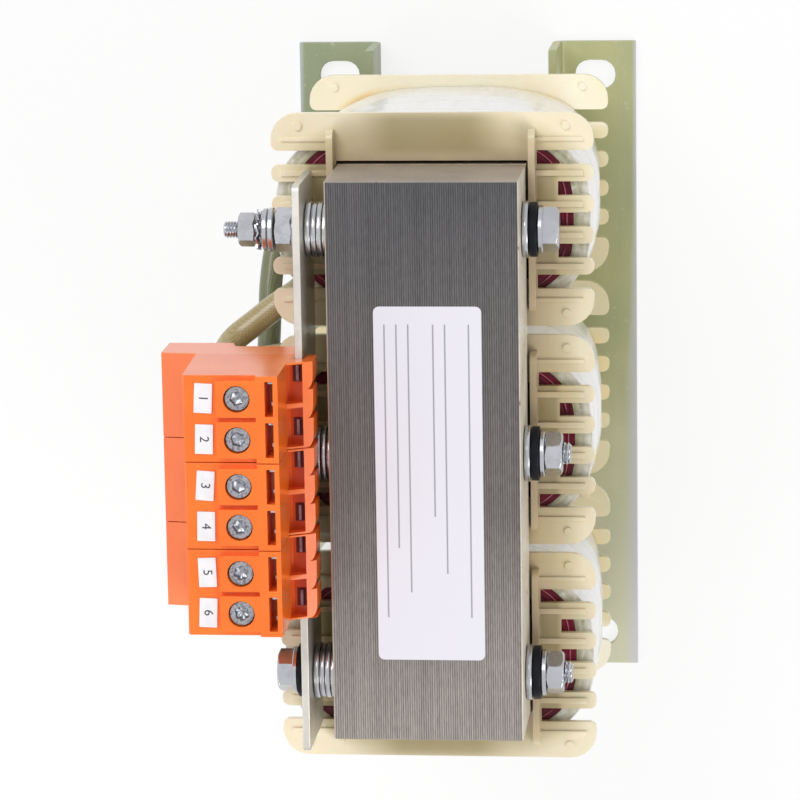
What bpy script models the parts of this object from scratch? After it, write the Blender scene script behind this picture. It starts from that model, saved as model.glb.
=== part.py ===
"""Three-phase line reactor: laminated core, three wound bobbins, terminal plate and feet.

Metres, +Z up. X runs along the row of coils, the terminals face -Y, and the feet stand on z = 0.
"""

import math

import bmesh
import bpy
from mathutils import Matrix

# Clearance between pieces that touch or seat on each other
CONTACT = 0.0003

# Length along an arc that one straight edge stands for
ARC_STEP = 0.0014

# Core: E-shaped lower stack, air-gap sheets, and a straight upper yoke stack
LEG_WIDTH = 0.038
WINDOW_WIDTH = 0.038
WINDOW_HEIGHT = 0.114
YOKE_HEIGHT = 0.038
STACK_DEPTH = 0.064
AIR_GAP = 0.002
CORE_STANDOFF = 0.0042
YOKE_HOLE_RADIUS = 0.0046

# Moulded bobbins
TUBE_CLEARANCE_X = 0.0011
TUBE_CLEARANCE_Y = 0.0004
TUBE_WALL = 0.0016
TUBE_CORNER = 0.0005
BOBBIN_TOP_CLEARANCE = 0.0025
FLANGE_THICKNESS = 0.0025
FLANGE_SPACING = 0.0032
FLANGE_REACH = 0.0226
FLANGE_CORNER = 0.009
COMB_PITCH_SHARE = 0.1456
COMB_GAP_SHARE = 0.0652
COMB_GAPS = 5
COMB_ROOT = 0.0106
TIP_RADIUS_SHARE = 0.5
COLLAR_CLEARANCE = 0.0009
COLLAR_WALL = 0.0023
COLLAR_HEIGHT = 0.0058
COLLAR_LENGTH = 0.062
RIB_WIDTH = 0.0019
RIB_HEIGHT = 0.0008
OUTER_RIB_OFFSET = 0.0032
OUTER_RIB_WIDTH = 0.0013
RIB_END_SETBACK = 0.0034
PIP_RADIUS = 0.00145
PIP_HEIGHT = 0.0008
PIP_SEGMENTS = 10
PIP_INSET_X = 0.00445
PIP_INSET_Y = 0.00926

# Coil layers, as superellipses in plan: copper, insulation, outer wrap
WRAP_SIDE_CLEARANCE = 0.0045
WRAP_FLANGE_SETBACK = 0.0015
WRAP_BULGE_X = 0.001
WRAP_BULGE_Y = 0.0005
WRAP_THICKNESS = 0.0008
INSULATION_SIDE = 0.0014
INSULATION_END = 0.0041
WRAP_ROUNDING = 2.5
COPPER_ROUNDING = 3.0
COIL_SEGMENTS = 40
WRAP_ROWS = 4

# Terminal plate on spacers beside the upper yoke
PLATE_LENGTH = 0.193
PLATE_SHIFT_X = 0.003
PLATE_THICKNESS = 0.0025
PLATE_STANDOFF = 0.0082
PLATE_CORNER = 0.002
SPACER_RADIUS = 0.0096
SPACER_GROOVE = 0.0006
SPACER_DISCS = 4

# M8 clamping bolts through both yokes
BOLT_RADIUS = 0.0039
BOLT_HOLE_CLEARANCE = 0.0004
HEX_ACROSS_FLATS = 0.013
HEAD_HEIGHT = 0.0053
NUT_HEIGHT = 0.006
HEAD_WASHER_RADIUS = 0.008
HEAD_WASHER_THICKNESS = 0.0015
BOLT_END = 0.0029
INSULATING_WASHER_RADIUS = 0.00915
INSULATING_WASHER_THICKNESS = 0.0026
STEEL_WASHER_RADIUS = 0.0095
STEEL_WASHER_THICKNESS = 0.0019
BOLT_SEGMENTS = 16
WASHER_SEGMENTS = 20

# Earth connection on the front end of the first bolt
STUD_RADIUS = 0.0029
EARTH_NUT_FLATS = 0.010
EARTH_NUT_HEIGHT = 0.0056
EARTH_WASHER_RADIUS = 0.0074
EARTH_WASHER_THICKNESS = 0.004
LOCK_WASHER_RADIUS = 0.0068
LOCK_WASHER_THICKNESS = 0.0022
LOCK_TEETH = 8
STUD_END = 0.005

# Two-pole terminal blocks hooked over the plate
BLOCK_COUNT = 3
BLOCK_PITCH = 0.0291
BLOCK_ROW_X = 0.0077
BLOCK_ABOVE_YOKE = 0.0315
BLOCK_HEIGHT = 0.0595
BLOCK_DEPTH = 0.033
BLOCK_DRAFT = 0.0009
BLOCK_TOP_CHAMFER = 0.0008
BLOCK_REAR_STEP = 0.0015
BLOCK_SHOULDER = 0.0088
UNDERSIDE_STEP = 0.006
UNDERSIDE_SLOPE = 0.0014
LEDGE_DEPTH = 0.013
LEDGE_HEIGHT = 0.018
LEDGE_RISE = 0.0017
TAG_STEP = 0.0022
TAG_DEPTH = 0.0111
POLE_PITCH = 0.0136
HOOK_THICKNESS = 0.0037
HOOK_DEPTH = 0.007
HOOK_ROOF = 0.0045
TONGUES = 3
TONGUE_BITE = 0.0019
TONGUE_FLAT_SHARE = 0.5
TONGUE_STEPS = 5
SQUARE_WIDTH = 0.0121
SQUARE_DEPTH = 0.0131
SCREW_HEAD_RADIUS = 0.0041
SCREW_HEAD_HEIGHT = 0.004
SCREW_SUNK = 0.0012
SCREW_BACK = 0.0003
SCREW_SHANK_RADIUS = 0.0029
SCREW_LENGTH = 0.016
HEX_SOCKET_RADIUS = 0.0023
HEX_SOCKET_DEPTH = 0.002
SCREW_SEGMENTS = 20
PROBE_SLOT_WIDTH = 0.0027
PROBE_SLOT_LENGTH = 0.0115
PROBE_SLOT_DEPTH = 0.012
PROBE_SLOT_INSET = 0.0016
POCKET_PARTITION = 0.0016
POCKET_FLOOR = 0.0013
POCKET_WALL = 0.0014
WIRE_ENTRY_WIDTH = 0.0104
WIRE_ENTRY_HEIGHT = 0.012
WIRE_ENTRY_DEPTH = 0.02
WIRE_ENTRY_SILL = 0.0022
RELIEF_CLEARANCE = 0.0012

# Angle feet bolted to the lower yoke
FOOT_LENGTH = 0.240
FOOT_WIDTH = 0.0309
FOOT_ABOVE_BOLTS = 0.0095
FOOT_THICKNESS = 0.003
FOOT_BEND_RADIUS = 0.0014
SLOT_WIDTH = 0.011
SLOT_LENGTH = 0.015
SLOT_SPACING_X = 0.215
SLOT_EDGE = 0.0151

# Sleeved winding leads
LEAD_RADIUS_START = 0.0048
LEAD_RADIUS_FINISH = 0.0043
LEAD_STUB = 0.004
LEAD_STEP = 0.0055
LEAD_SEGMENTS = 16
LEAD_SOCKET_DEPTH = 0.005
START_ROW_SETBACK = 0.0295
FINISH_ROW_SETBACK = 0.017

# Levels and places worked out from the sizes above
COIL_PITCH = LEG_WIDTH + WINDOW_WIDTH
YOKE_LENGTH = 3 * LEG_WIDTH + 2 * WINDOW_WIDTH
COIL_XS = [-COIL_PITCH, 0.0, COIL_PITCH]
Z_WINDOW = CORE_STANDOFF + YOKE_HEIGHT
Z_LEG_TOP = Z_WINDOW + WINDOW_HEIGHT
Z_UPPER_YOKE = Z_LEG_TOP + AIR_GAP
Z_CORE_TOP = Z_UPPER_YOKE + YOKE_HEIGHT
Z_LOWER_BOLTS = CORE_STANDOFF + YOKE_HEIGHT / 2
Z_UPPER_BOLTS = Z_UPPER_YOKE + YOKE_HEIGHT / 2
SIDE_Y = STACK_DEPTH / 2
Z_BOBBIN_BOTTOM = Z_WINDOW + CONTACT
Z_BOBBIN_TOP = Z_UPPER_YOKE - BOBBIN_TOP_CLEARANCE
BOBBIN_HEIGHT = Z_BOBBIN_TOP - Z_BOBBIN_BOTTOM
Z_BOBBIN_MIDDLE = (Z_BOBBIN_TOP + Z_BOBBIN_BOTTOM) / 2
FLANGE_HALF_X = (COIL_PITCH - FLANGE_SPACING) / 2
FLANGE_HALF_Y = SIDE_Y + FLANGE_REACH
COMB_PITCH = 2 * FLANGE_HALF_X * COMB_PITCH_SHARE
COMB_GAP = 2 * FLANGE_HALF_X * COMB_GAP_SHARE
TIP_RADIUS = TIP_RADIUS_SHARE * COMB_GAP
TUBE_HALF_X = LEG_WIDTH / 2 + TUBE_CLEARANCE_X + TUBE_WALL
TUBE_HALF_Y = SIDE_Y + TUBE_CLEARANCE_Y + TUBE_WALL
COLLAR_INNER_Y = SIDE_Y + COLLAR_CLEARANCE
COLLAR_OUTER_Y = COLLAR_INNER_Y + COLLAR_WALL
COIL_HEIGHT = BOBBIN_HEIGHT - 2 * FLANGE_THICKNESS - 2 * CONTACT
WRAP_HALF_X = COIL_PITCH / 2 - WRAP_SIDE_CLEARANCE - WRAP_BULGE_X
WRAP_HALF_Y = FLANGE_HALF_Y - WRAP_FLANGE_SETBACK
PLATE_BACK_Y = -(SIDE_Y + PLATE_STANDOFF)
PLATE_FRONT_Y = PLATE_BACK_Y - PLATE_THICKNESS
BLOCK_REAR_Y = PLATE_FRONT_Y - CONTACT
BLOCK_FRONT_Y = BLOCK_REAR_Y - BLOCK_DEPTH
LEDGE_FRONT_Y = BLOCK_FRONT_Y - LEDGE_DEPTH
Z_BLOCK_TOP = Z_CORE_TOP + BLOCK_ABOVE_YOKE
Z_BLOCK_BOTTOM = Z_BLOCK_TOP - BLOCK_HEIGHT
BLOCK_WIDTH = BLOCK_PITCH - CONTACT
BLOCK_XS = [BLOCK_ROW_X + (k - (BLOCK_COUNT - 1) / 2) * BLOCK_PITCH for k in range(BLOCK_COUNT)]
SCREW_Y = BLOCK_FRONT_Y + TAG_DEPTH + SQUARE_DEPTH / 2 + SCREW_BACK
Z_SCREW_HEADS = Z_BLOCK_TOP - SCREW_SUNK
HOOK_INNER_Y = PLATE_BACK_Y + CONTACT
HOOK_OUTER_Y = HOOK_INNER_Y + HOOK_THICKNESS
UPPER_REAR_Y = BLOCK_REAR_Y - BLOCK_REAR_STEP
FOOT_UPRIGHT = Z_LOWER_BOLTS + FOOT_ABOVE_BOLTS
FOOT_INNER_Y = SIDE_Y + CONTACT
FOOT_OUTER_Y = FOOT_INNER_Y + FOOT_WIDTH
SLOT_Y = FOOT_OUTER_Y - SLOT_EDGE
START_ROW_Y = BLOCK_REAR_Y - START_ROW_SETBACK
FINISH_ROW_Y = BLOCK_REAR_Y - FINISH_ROW_SETBACK
Z_REAR_UNDERSIDE = Z_BLOCK_BOTTOM + UNDERSIDE_STEP

# The core's middle plane is moved back so that the origin lies under the middle of the whole part
CORE_SHIFT_Y = -(LEDGE_FRONT_Y + FOOT_OUTER_Y) / 2

# Colour, roughness and metallic value of each finish
FINISHES = {
    "laminations": ((0.19, 0.18, 0.17), 0.45, 0.8),
    "spacer_board": ((0.50, 0.42, 0.26), 0.7, 0.0),
    "bobbin_nylon": ((0.80, 0.70, 0.46), 0.4, 0.0),
    "enamelled_copper": ((0.12, 0.01, 0.02), 0.25, 0.0),
    "insulation_paper": ((0.45, 0.44, 0.32), 0.7, 0.0),
    "glass_tape": ((0.85, 0.84, 0.80), 0.3, 0.0),
    "zinc_plate": ((0.62, 0.61, 0.58), 0.35, 0.9),
    "zinc_fastener": ((0.60, 0.61, 0.63), 0.3, 1.0),
    "black_insulator": ((0.02, 0.02, 0.022), 0.45, 0.0),
    "orange_polyamide": ((0.92, 0.18, 0.02), 0.4, 0.0),
    "yellow_chromate": ((0.36, 0.36, 0.17), 0.4, 0.7),
    "oiled_sleeve": ((0.38, 0.32, 0.12), 0.35, 0.0),
}


def clear_scene():
    """Remove every object that the scene starts with."""
    for obj in list(bpy.data.objects):
        bpy.data.objects.remove(obj, do_unlink=True)


def new_collection(name):
    collection = bpy.data.collections.new(name)
    bpy.context.scene.collection.children.link(collection)
    return collection


def make_finishes():
    """One Principled material for each named finish."""
    made = {}
    for name, (colour, roughness, metallic) in FINISHES.items():
        material = bpy.data.materials.new(name)
        material.use_nodes = True
        shader = material.node_tree.nodes["Principled BSDF"]
        shader.inputs["Base Color"].default_value = (*colour, 1.0)
        shader.inputs["Roughness"].default_value = roughness
        shader.inputs["Metallic"].default_value = metallic
        material.diffuse_color = (*colour, 1.0)
        made[name] = material
    return made


clear_scene()
PARTS = new_collection("line_reactor")
CUTTERS = new_collection("cutters")
MATERIALS = make_finishes()
CORE_FRAME = bpy.data.objects.new("core_frame", None)
CORE_FRAME.location = (0.0, CORE_SHIFT_Y, 0.0)
PARTS.objects.link(CORE_FRAME)


def place(name, mesh, finish, location=(0.0, 0.0, 0.0), rotation=(0.0, 0.0, 0.0)):
    """Put a mesh in the parts collection as a named object with its finish."""
    obj = bpy.data.objects.new(name, mesh)
    obj.location = location
    obj.rotation_euler = rotation
    obj.parent = CORE_FRAME
    mesh.materials.clear()
    mesh.materials.append(MATERIALS[finish])
    PARTS.objects.link(obj)
    return obj


def tool(name, mesh, location=(0.0, 0.0, 0.0), rotation=(0.0, 0.0, 0.0)):
    """Put a mesh in the cutters collection, for a Boolean to use."""
    obj = bpy.data.objects.new(name, mesh)
    obj.location = location
    obj.rotation_euler = rotation
    obj.parent = CORE_FRAME
    obj.hide_render = True
    obj.display_type = "WIRE"
    CUTTERS.objects.link(obj)
    return obj


def combine(target, other, operation):
    """Add an exact Boolean of the other object to the target."""
    modifier = target.modifiers.new(operation.lower(), "BOOLEAN")
    modifier.operation = operation
    modifier.solver = "EXACT"
    modifier.object = other
    return modifier


def smooth(mesh, degrees=35.0):
    mesh.shade_smooth()
    mesh.set_sharp_from_angle(angle=math.radians(degrees))


def mesh_from(name, work):
    mesh = bpy.data.meshes.new(name)
    work.to_mesh(mesh)
    work.free()
    return mesh


def box_mesh(name, low, high):
    """A box between two corners."""
    work = bmesh.new()
    bmesh.ops.create_cube(work, size=1.0)
    for vert in work.verts:
        for axis in range(3):
            middle = (low[axis] + high[axis]) / 2
            vert.co[axis] = middle + vert.co[axis] * (high[axis] - low[axis])
    return mesh_from(name, work)


def rod_mesh(name, radius, length, segments, centre=(0.0, 0.0, 0.0), turn=0.0):
    """An upright cylinder or prism around a centre point."""
    work = bmesh.new()
    bmesh.ops.create_cone(
        work,
        cap_ends=True,
        segments=segments,
        radius1=radius,
        radius2=radius,
        depth=length,
    )
    bmesh.ops.rotate(work, verts=work.verts, matrix=Matrix.Rotation(turn, 3, "Z"))
    bmesh.ops.translate(work, verts=work.verts, vec=centre)
    return mesh_from(name, work)


def moved(mesh, offset):
    mesh.transform(Matrix.Translation(offset))
    return mesh


def merged_mesh(name, meshes):
    """One mesh that holds several, for a Boolean that cuts or joins them all at once."""
    work = bmesh.new()
    for mesh in meshes:
        work.from_mesh(mesh)
        bpy.data.meshes.remove(mesh)
    return mesh_from(name, work)


def evaluated_mesh(obj, name):
    """The object's mesh after its modifiers or bevel, with its loose caps welded on."""
    graph = bpy.context.evaluated_depsgraph_get()
    mesh = bpy.data.meshes.new_from_object(obj.evaluated_get(graph))
    work = bmesh.new()
    work.from_mesh(mesh)
    bmesh.ops.remove_doubles(work, verts=work.verts, dist=1e-6)
    work.to_mesh(mesh)
    work.free()
    mesh.name = name
    return mesh


def curve_to_mesh(name, curve):
    """Turn curve data into a welded mesh and drop the curve."""
    obj = bpy.data.objects.new(name, curve)
    CUTTERS.objects.link(obj)
    bpy.context.view_layer.update()
    mesh = evaluated_mesh(obj, name)
    bpy.data.objects.remove(obj)
    bpy.data.curves.remove(curve)
    return mesh


def prism_mesh(name, loop, low, high):
    """Extrude one closed outline from low to high along Z."""
    work = bmesh.new()
    face = work.faces.new([work.verts.new((x, y, low)) for x, y in loop])
    face.normal_update()
    if face.normal.z > 0.0:
        face.normal_flip()
    raised = bmesh.ops.extrude_face_region(work, geom=[face], use_keep_orig=True)["geom"]
    for item in raised:
        if isinstance(item, bmesh.types.BMVert):
            item.co.z = high
    bmesh.ops.recalc_face_normals(work, faces=work.faces)
    return mesh_from(name, work)


def ring_mesh(name, outer, inner, low, high):
    """Fill between two closed outlines and extrude from low to high along Z."""
    curve = bpy.data.curves.new(name, "CURVE")
    curve.dimensions = "2D"
    curve.fill_mode = "BOTH"
    curve.extrude = (high - low) / 2
    for loop in (outer, inner):
        spline = curve.splines.new("POLY")
        spline.points.add(len(loop) - 1)
        spline.use_cyclic_u = True
        for point, (x, y) in zip(spline.points, loop):
            point.co = (x, y, 0.0, 1.0)
    mesh = curve_to_mesh(name, curve)
    for vert in mesh.vertices:
        vert.co.z += (high + low) / 2
    return mesh


def along_x(mesh):
    """Turn an outline drawn as (y, z) so that it is extruded along X."""
    for vert in mesh.vertices:
        y, z, x = vert.co
        vert.co = (x, y, z)
    return mesh


def along_y(mesh):
    """Turn an outline drawn as (z, x) so that it is extruded along Y."""
    for vert in mesh.vertices:
        z, x, y = vert.co
        vert.co = (x, y, z)
    return mesh


def rounded(corners):
    """A closed outline through corners given as (x, y, radius), with arcs at the round ones."""
    points = []
    for k, (x, y, radius) in enumerate(corners):
        if radius <= 0.0:
            points.append((x, y))
            continue
        before = corners[k - 1]
        after = corners[(k + 1) % len(corners)]
        to_before = math.atan2(before[1] - y, before[0] - x)
        to_after = math.atan2(after[1] - y, after[0] - x)
        opening = (to_after - to_before + math.pi) % (2 * math.pi) - math.pi
        middle = to_before + opening / 2
        reach = radius / math.sin(abs(opening) / 2)
        centre_x = x + reach * math.cos(middle)
        centre_y = y + reach * math.sin(middle)
        sweep = math.copysign(math.pi - abs(opening), opening)
        first = middle + math.pi + sweep / 2
        steps = max(3, round(radius / ARC_STEP))
        for step in range(steps + 1):
            angle = first - sweep * step / steps
            points.append((centre_x + radius * math.cos(angle), centre_y + radius * math.sin(angle)))
    return points


def rounded_rectangle(half_x, half_y, radius):
    corners = [
        (half_x, -half_y, radius),
        (half_x, half_y, radius),
        (-half_x, half_y, radius),
        (-half_x, -half_y, radius),
    ]
    return rounded(corners)


def superellipse(half_x, half_y, power, segments):
    """Points of |x/a|^n + |y/b|^n = 1 in order."""
    points = []
    for k in range(segments):
        angle = 2 * math.pi * k / segments
        cosine = math.cos(angle)
        sine = math.sin(angle)
        x = half_x * math.copysign(abs(cosine) ** (2 / power), cosine)
        y = half_y * math.copysign(abs(sine) ** (2 / power), sine)
        points.append((x, y))
    return points


def turned(name, profile, segments):
    """Spin a profile of (radius, height) points about Z with a Screw modifier, made a mesh."""
    mesh = bpy.data.meshes.new(name)
    edges = [(k, k + 1) for k in range(len(profile) - 1)]
    if profile[0][0] > 0.0:
        edges.append((len(profile) - 1, 0))
    mesh.from_pydata([(radius, 0.0, height) for radius, height in profile], edges, [])
    obj = bpy.data.objects.new(name, mesh)
    CUTTERS.objects.link(obj)
    screw = obj.modifiers.new("spin", "SCREW")
    screw.steps = segments
    screw.render_steps = segments
    screw.use_merge_vertices = True
    screw.merge_threshold = 1e-5
    bpy.context.view_layer.update()
    spun = evaluated_mesh(obj, name)
    bpy.data.objects.remove(obj)
    bpy.data.meshes.remove(mesh)
    smooth(spun)
    return spun


def ring_profile(outer, inner, low, high):
    """Profile of a washer: down the outer side, then up the bore."""
    return [(outer, high), (outer, low), (inner, low), (inner, high)]


def hex_mesh(name, across_flats, low, high):
    """A hexagonal prism standing between two heights."""
    radius = across_flats / math.sqrt(3)
    return rod_mesh(name, radius, high - low, 6, (0.0, 0.0, (low + high) / 2), math.radians(30))


# A bolt lies along Y: its own +Z points out of the rear side of the core, or out of the front side
TO_REAR = (-math.pi / 2, 0.0, 0.0)
TO_FRONT = (math.pi / 2, 0.0, 0.0)


def cross_holes(name, xs, z, radius, low_y, high_y):
    """Cutters for a row of round holes along Y."""
    length = high_y - low_y
    rods = [rod_mesh(f"{name}_{k}", radius, length, BOLT_SEGMENTS) for k in range(len(xs))]
    for mesh, x in zip(rods, xs):
        for vert in mesh.vertices:
            along, across, up = vert.co
            vert.co = (x + along, (low_y + high_y) / 2 + up, z - across)
    return tool(name, merged_mesh(name, rods))


def make_core():
    """Lower E-shaped stack, air-gap sheets and upper yoke."""
    half = YOKE_LENGTH / 2
    outline = [(CORE_STANDOFF, -half), (CORE_STANDOFF, half)]
    for x in reversed(COIL_XS):
        outline.append((Z_LEG_TOP, x + LEG_WIDTH / 2))
        outline.append((Z_LEG_TOP, x - LEG_WIDTH / 2))
        outline.append((Z_WINDOW, x - LEG_WIDTH / 2))
        outline.append((Z_WINDOW, x - LEG_WIDTH / 2 - WINDOW_WIDTH))
    outline = outline[:-2]
    mesh = along_y(prism_mesh("lower_core", outline, -SIDE_Y, SIDE_Y))
    lower = place("lower_core", mesh, "laminations")
    reach = SIDE_Y + CONTACT
    lower_holes = cross_holes("lower_yoke_holes", COIL_XS, Z_LOWER_BOLTS, YOKE_HOLE_RADIUS, -reach, reach)
    combine(lower, lower_holes, "DIFFERENCE")
    low = (-half, -SIDE_Y, Z_UPPER_YOKE)
    upper = place("upper_yoke", box_mesh("upper_yoke", low, (half, SIDE_Y, Z_CORE_TOP)), "laminations")
    upper_holes = cross_holes("upper_yoke_holes", COIL_XS, Z_UPPER_BOLTS, YOKE_HOLE_RADIUS, -reach, reach)
    combine(upper, upper_holes, "DIFFERENCE")
    for k, x in enumerate(COIL_XS, 1):
        low = (-LEG_WIDTH / 2, -SIDE_Y, Z_LEG_TOP + CONTACT)
        high = (LEG_WIDTH / 2, SIDE_Y, Z_UPPER_YOKE - CONTACT)
        place(f"gap_sheet_{k}", box_mesh(f"gap_sheet_{k}", low, high), "spacer_board", (x, 0.0, 0.0))


def comb_centres():
    return [(k - (COMB_GAPS - 1) / 2) * COMB_PITCH for k in range(COMB_GAPS)]


def flange_outline():
    """Rounded flange with five open gaps along each long side, like a comb."""
    side = [(FLANGE_HALF_X, FLANGE_HALF_Y, FLANGE_CORNER)]
    for k, centre in reversed(list(enumerate(comb_centres()))):
        outermost = k in (0, COMB_GAPS - 1)
        root = COLLAR_OUTER_Y + CONTACT if outermost else SIDE_Y + COMB_ROOT
        side.append((centre + COMB_GAP / 2, FLANGE_HALF_Y, TIP_RADIUS))
        side.append((centre + COMB_GAP / 2, root, 0.0))
        side.append((centre - COMB_GAP / 2, root, 0.0))
        side.append((centre - COMB_GAP / 2, FLANGE_HALF_Y, TIP_RADIUS))
    side.append((-FLANGE_HALF_X, FLANGE_HALF_Y, FLANGE_CORNER))
    other = [(-x, -y, radius) for x, y, radius in side]
    return rounded(side + other)


def flange_ribs():
    """Raised ribs along the fingers, and one beyond each outer gap."""
    top = BOBBIN_HEIGHT / 2
    root = COLLAR_OUTER_Y - COLLAR_WALL / 2
    end = FLANGE_HALF_Y - RIB_END_SETBACK
    sunk = top - FLANGE_THICKNESS / 2
    pieces = []
    centres = comb_centres()
    for side in (-1, 1):
        near, far = sorted((side * root, side * end))
        for first, second in zip(centres, centres[1:]):
            middle = (first + second) / 2
            low = (middle - RIB_WIDTH / 2, near, sunk)
            high = (middle + RIB_WIDTH / 2, far, top + RIB_HEIGHT)
            pieces.append(box_mesh("finger_rib", low, high))
        edge = centres[-1] + COMB_GAP / 2 + OUTER_RIB_OFFSET
        for end_x in (-1, 1):
            left, right = sorted((end_x * edge, end_x * (edge + OUTER_RIB_WIDTH)))
            pieces.append(box_mesh("outer_rib", (left, near, sunk), (right, far, top + RIB_HEIGHT)))
    return merged_mesh("flange_ribs", pieces)


def collar_walls():
    """Two upright walls that lie beside the upper yoke."""
    top = BOBBIN_HEIGHT / 2
    half = COLLAR_LENGTH / 2
    walls = []
    for side in (-1, 1):
        outline = rounded(
            [
                (top - FLANGE_THICKNESS / 2, -half, 0.0),
                (top - FLANGE_THICKNESS / 2, half, 0.0),
                (top + COLLAR_HEIGHT, half, COLLAR_HEIGHT / 2),
                (top + COLLAR_HEIGHT, -half, COLLAR_HEIGHT / 2),
            ]
        )
        low, high = sorted((side * COLLAR_INNER_Y, side * COLLAR_OUTER_Y))
        walls.append(along_y(prism_mesh("collar_wall", outline, low, high)))
    return merged_mesh("collar_walls", walls)


def flange_pips():
    """Four small moulded pips near the corners, raised on both faces of a flange."""
    middle = BOBBIN_HEIGHT / 2 - FLANGE_THICKNESS / 2
    height = FLANGE_THICKNESS + 2 * PIP_HEIGHT
    pips = []
    for x in (PIP_INSET_X - FLANGE_HALF_X, FLANGE_HALF_X - PIP_INSET_X):
        for y in (PIP_INSET_Y - FLANGE_HALF_Y, FLANGE_HALF_Y - PIP_INSET_Y):
            pips.append(rod_mesh("pip", PIP_RADIUS, height, PIP_SEGMENTS, (x, y, middle)))
    return merged_mesh("flange_pips", pips)


def make_bobbins():
    """Upper half modelled, then mirrored at the middle of the leg."""
    top = BOBBIN_HEIGHT / 2
    window_outline = rounded_rectangle(TUBE_HALF_X - TUBE_WALL, TUBE_HALF_Y - TUBE_WALL, TUBE_CORNER)
    tube_outline = rounded_rectangle(TUBE_HALF_X, TUBE_HALF_Y, TUBE_CORNER + TUBE_WALL)
    flange = prism_mesh("flange", flange_outline(), top - FLANGE_THICKNESS, top)
    tube = prism_mesh("tube", tube_outline, -top / 2, top - FLANGE_THICKNESS / 2)
    window = prism_mesh("window", window_outline, -top, 2 * top)
    for k, x in enumerate(COIL_XS, 1):
        where = (x, 0.0, Z_BOBBIN_MIDDLE)
        bobbin = place(f"bobbin_{k}", flange.copy(), "bobbin_nylon", where)
        combine(bobbin, tool(f"bobbin_tube_{k}", tube.copy(), where), "UNION")
        combine(bobbin, tool(f"bobbin_walls_{k}", collar_walls(), where), "UNION")
        combine(bobbin, tool(f"bobbin_ribs_{k}", flange_ribs(), where), "UNION")
        combine(bobbin, tool(f"bobbin_pips_{k}", flange_pips(), where), "UNION")
        combine(bobbin, tool(f"bobbin_window_{k}", window.copy(), where), "DIFFERENCE")
        mirror = bobbin.modifiers.new("lower_half", "MIRROR")
        mirror.use_axis = (False, False, True)
        mirror.use_bisect_axis = (False, False, True)
        mirror.use_bisect_flip_axis = (False, False, False)
        mirror.merge_threshold = 1e-5


def wrap_mesh(name):
    """Outer wrap: a superellipse that swells between its two ends."""
    work = bmesh.new()
    rows = []
    for row in range(WRAP_ROWS + 1):
        share = row / WRAP_ROWS
        swell = 1.0 - (2 * share - 1.0) ** 4
        half_x = WRAP_HALF_X + WRAP_BULGE_X * swell
        half_y = WRAP_HALF_Y + WRAP_BULGE_Y * swell
        z = (share - 0.5) * COIL_HEIGHT
        loop = superellipse(half_x, half_y, WRAP_ROUNDING, COIL_SEGMENTS)
        rows.append([work.verts.new((x, y, z)) for x, y in loop])
    for below, above in zip(rows, rows[1:]):
        for k in range(COIL_SEGMENTS):
            after = (k + 1) % COIL_SEGMENTS
            work.faces.new((below[k], below[after], above[after], above[k]))
    mesh = mesh_from(name, work)
    smooth(mesh)
    return mesh


def make_coils():
    """Copper, insulation and wrap of each coil, one inside the other."""
    low = -COIL_HEIGHT / 2
    high = COIL_HEIGHT / 2
    tube = rounded_rectangle(TUBE_HALF_X + CONTACT, TUBE_HALF_Y + CONTACT, TUBE_CORNER + TUBE_WALL)
    half_x = WRAP_HALF_X - WRAP_THICKNESS - CONTACT
    half_y = WRAP_HALF_Y - WRAP_THICKNESS - CONTACT
    outer = superellipse(half_x, half_y, WRAP_ROUNDING, COIL_SEGMENTS)
    half_x -= INSULATION_SIDE
    half_y -= INSULATION_END
    inner = superellipse(half_x, half_y, COPPER_ROUNDING, COIL_SEGMENTS)
    copper = superellipse(half_x - CONTACT, half_y - CONTACT, COPPER_ROUNDING, COIL_SEGMENTS)
    winding_mesh = ring_mesh("winding", copper, tube, low, high)
    insulation_mesh = ring_mesh("insulation", outer, inner, low, high)
    for k, x in enumerate(COIL_XS, 1):
        where = (x, 0.0, Z_BOBBIN_MIDDLE)
        place(f"winding_{k}", winding_mesh.copy(), "enamelled_copper", where)
        place(f"insulation_{k}", insulation_mesh.copy(), "insulation_paper", where)
        wrap = place(f"outer_wrap_{k}", wrap_mesh(f"outer_wrap_{k}"), "glass_tape", where)
        wall = wrap.modifiers.new("wall", "SOLIDIFY")
        wall.thickness = WRAP_THICKNESS
        wall.offset = -1.0


def make_plate():
    """Flat terminal plate with one hole for each clamping bolt."""
    half = PLATE_LENGTH / 2
    outline = rounded(
        [
            (Z_UPPER_YOKE, PLATE_SHIFT_X - half, PLATE_CORNER),
            (Z_UPPER_YOKE, PLATE_SHIFT_X + half, PLATE_CORNER),
            (Z_CORE_TOP, PLATE_SHIFT_X + half, PLATE_CORNER),
            (Z_CORE_TOP, PLATE_SHIFT_X - half, PLATE_CORNER),
        ]
    )
    mesh = along_y(prism_mesh("terminal_plate", outline, PLATE_FRONT_Y, PLATE_BACK_Y))
    plate = place("terminal_plate", mesh, "zinc_plate")
    low = PLATE_FRONT_Y - CONTACT
    high = PLATE_BACK_Y + CONTACT
    radius = BOLT_RADIUS + BOLT_HOLE_CLEARANCE
    combine(plate, cross_holes("plate_holes", COIL_XS, Z_UPPER_BOLTS, radius, low, high), "DIFFERENCE")


def spacer_profile():
    """A pack of discs, as one turned piece with a groove between neighbours."""
    length = PLATE_STANDOFF - 2 * CONTACT
    disc = length / SPACER_DISCS
    bore = BOLT_RADIUS + BOLT_HOLE_CLEARANCE
    profile = [(SPACER_RADIUS, length)]
    for k in range(SPACER_DISCS - 1, 0, -1):
        profile.append((SPACER_RADIUS, k * disc + SPACER_GROOVE / 2))
        profile.append((SPACER_RADIUS - SPACER_GROOVE, k * disc))
        profile.append((SPACER_RADIUS, k * disc - SPACER_GROOVE / 2))
    profile.append((SPACER_RADIUS, 0.0))
    profile.append((bore, 0.0))
    profile.append((bore, length))
    return profile


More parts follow.
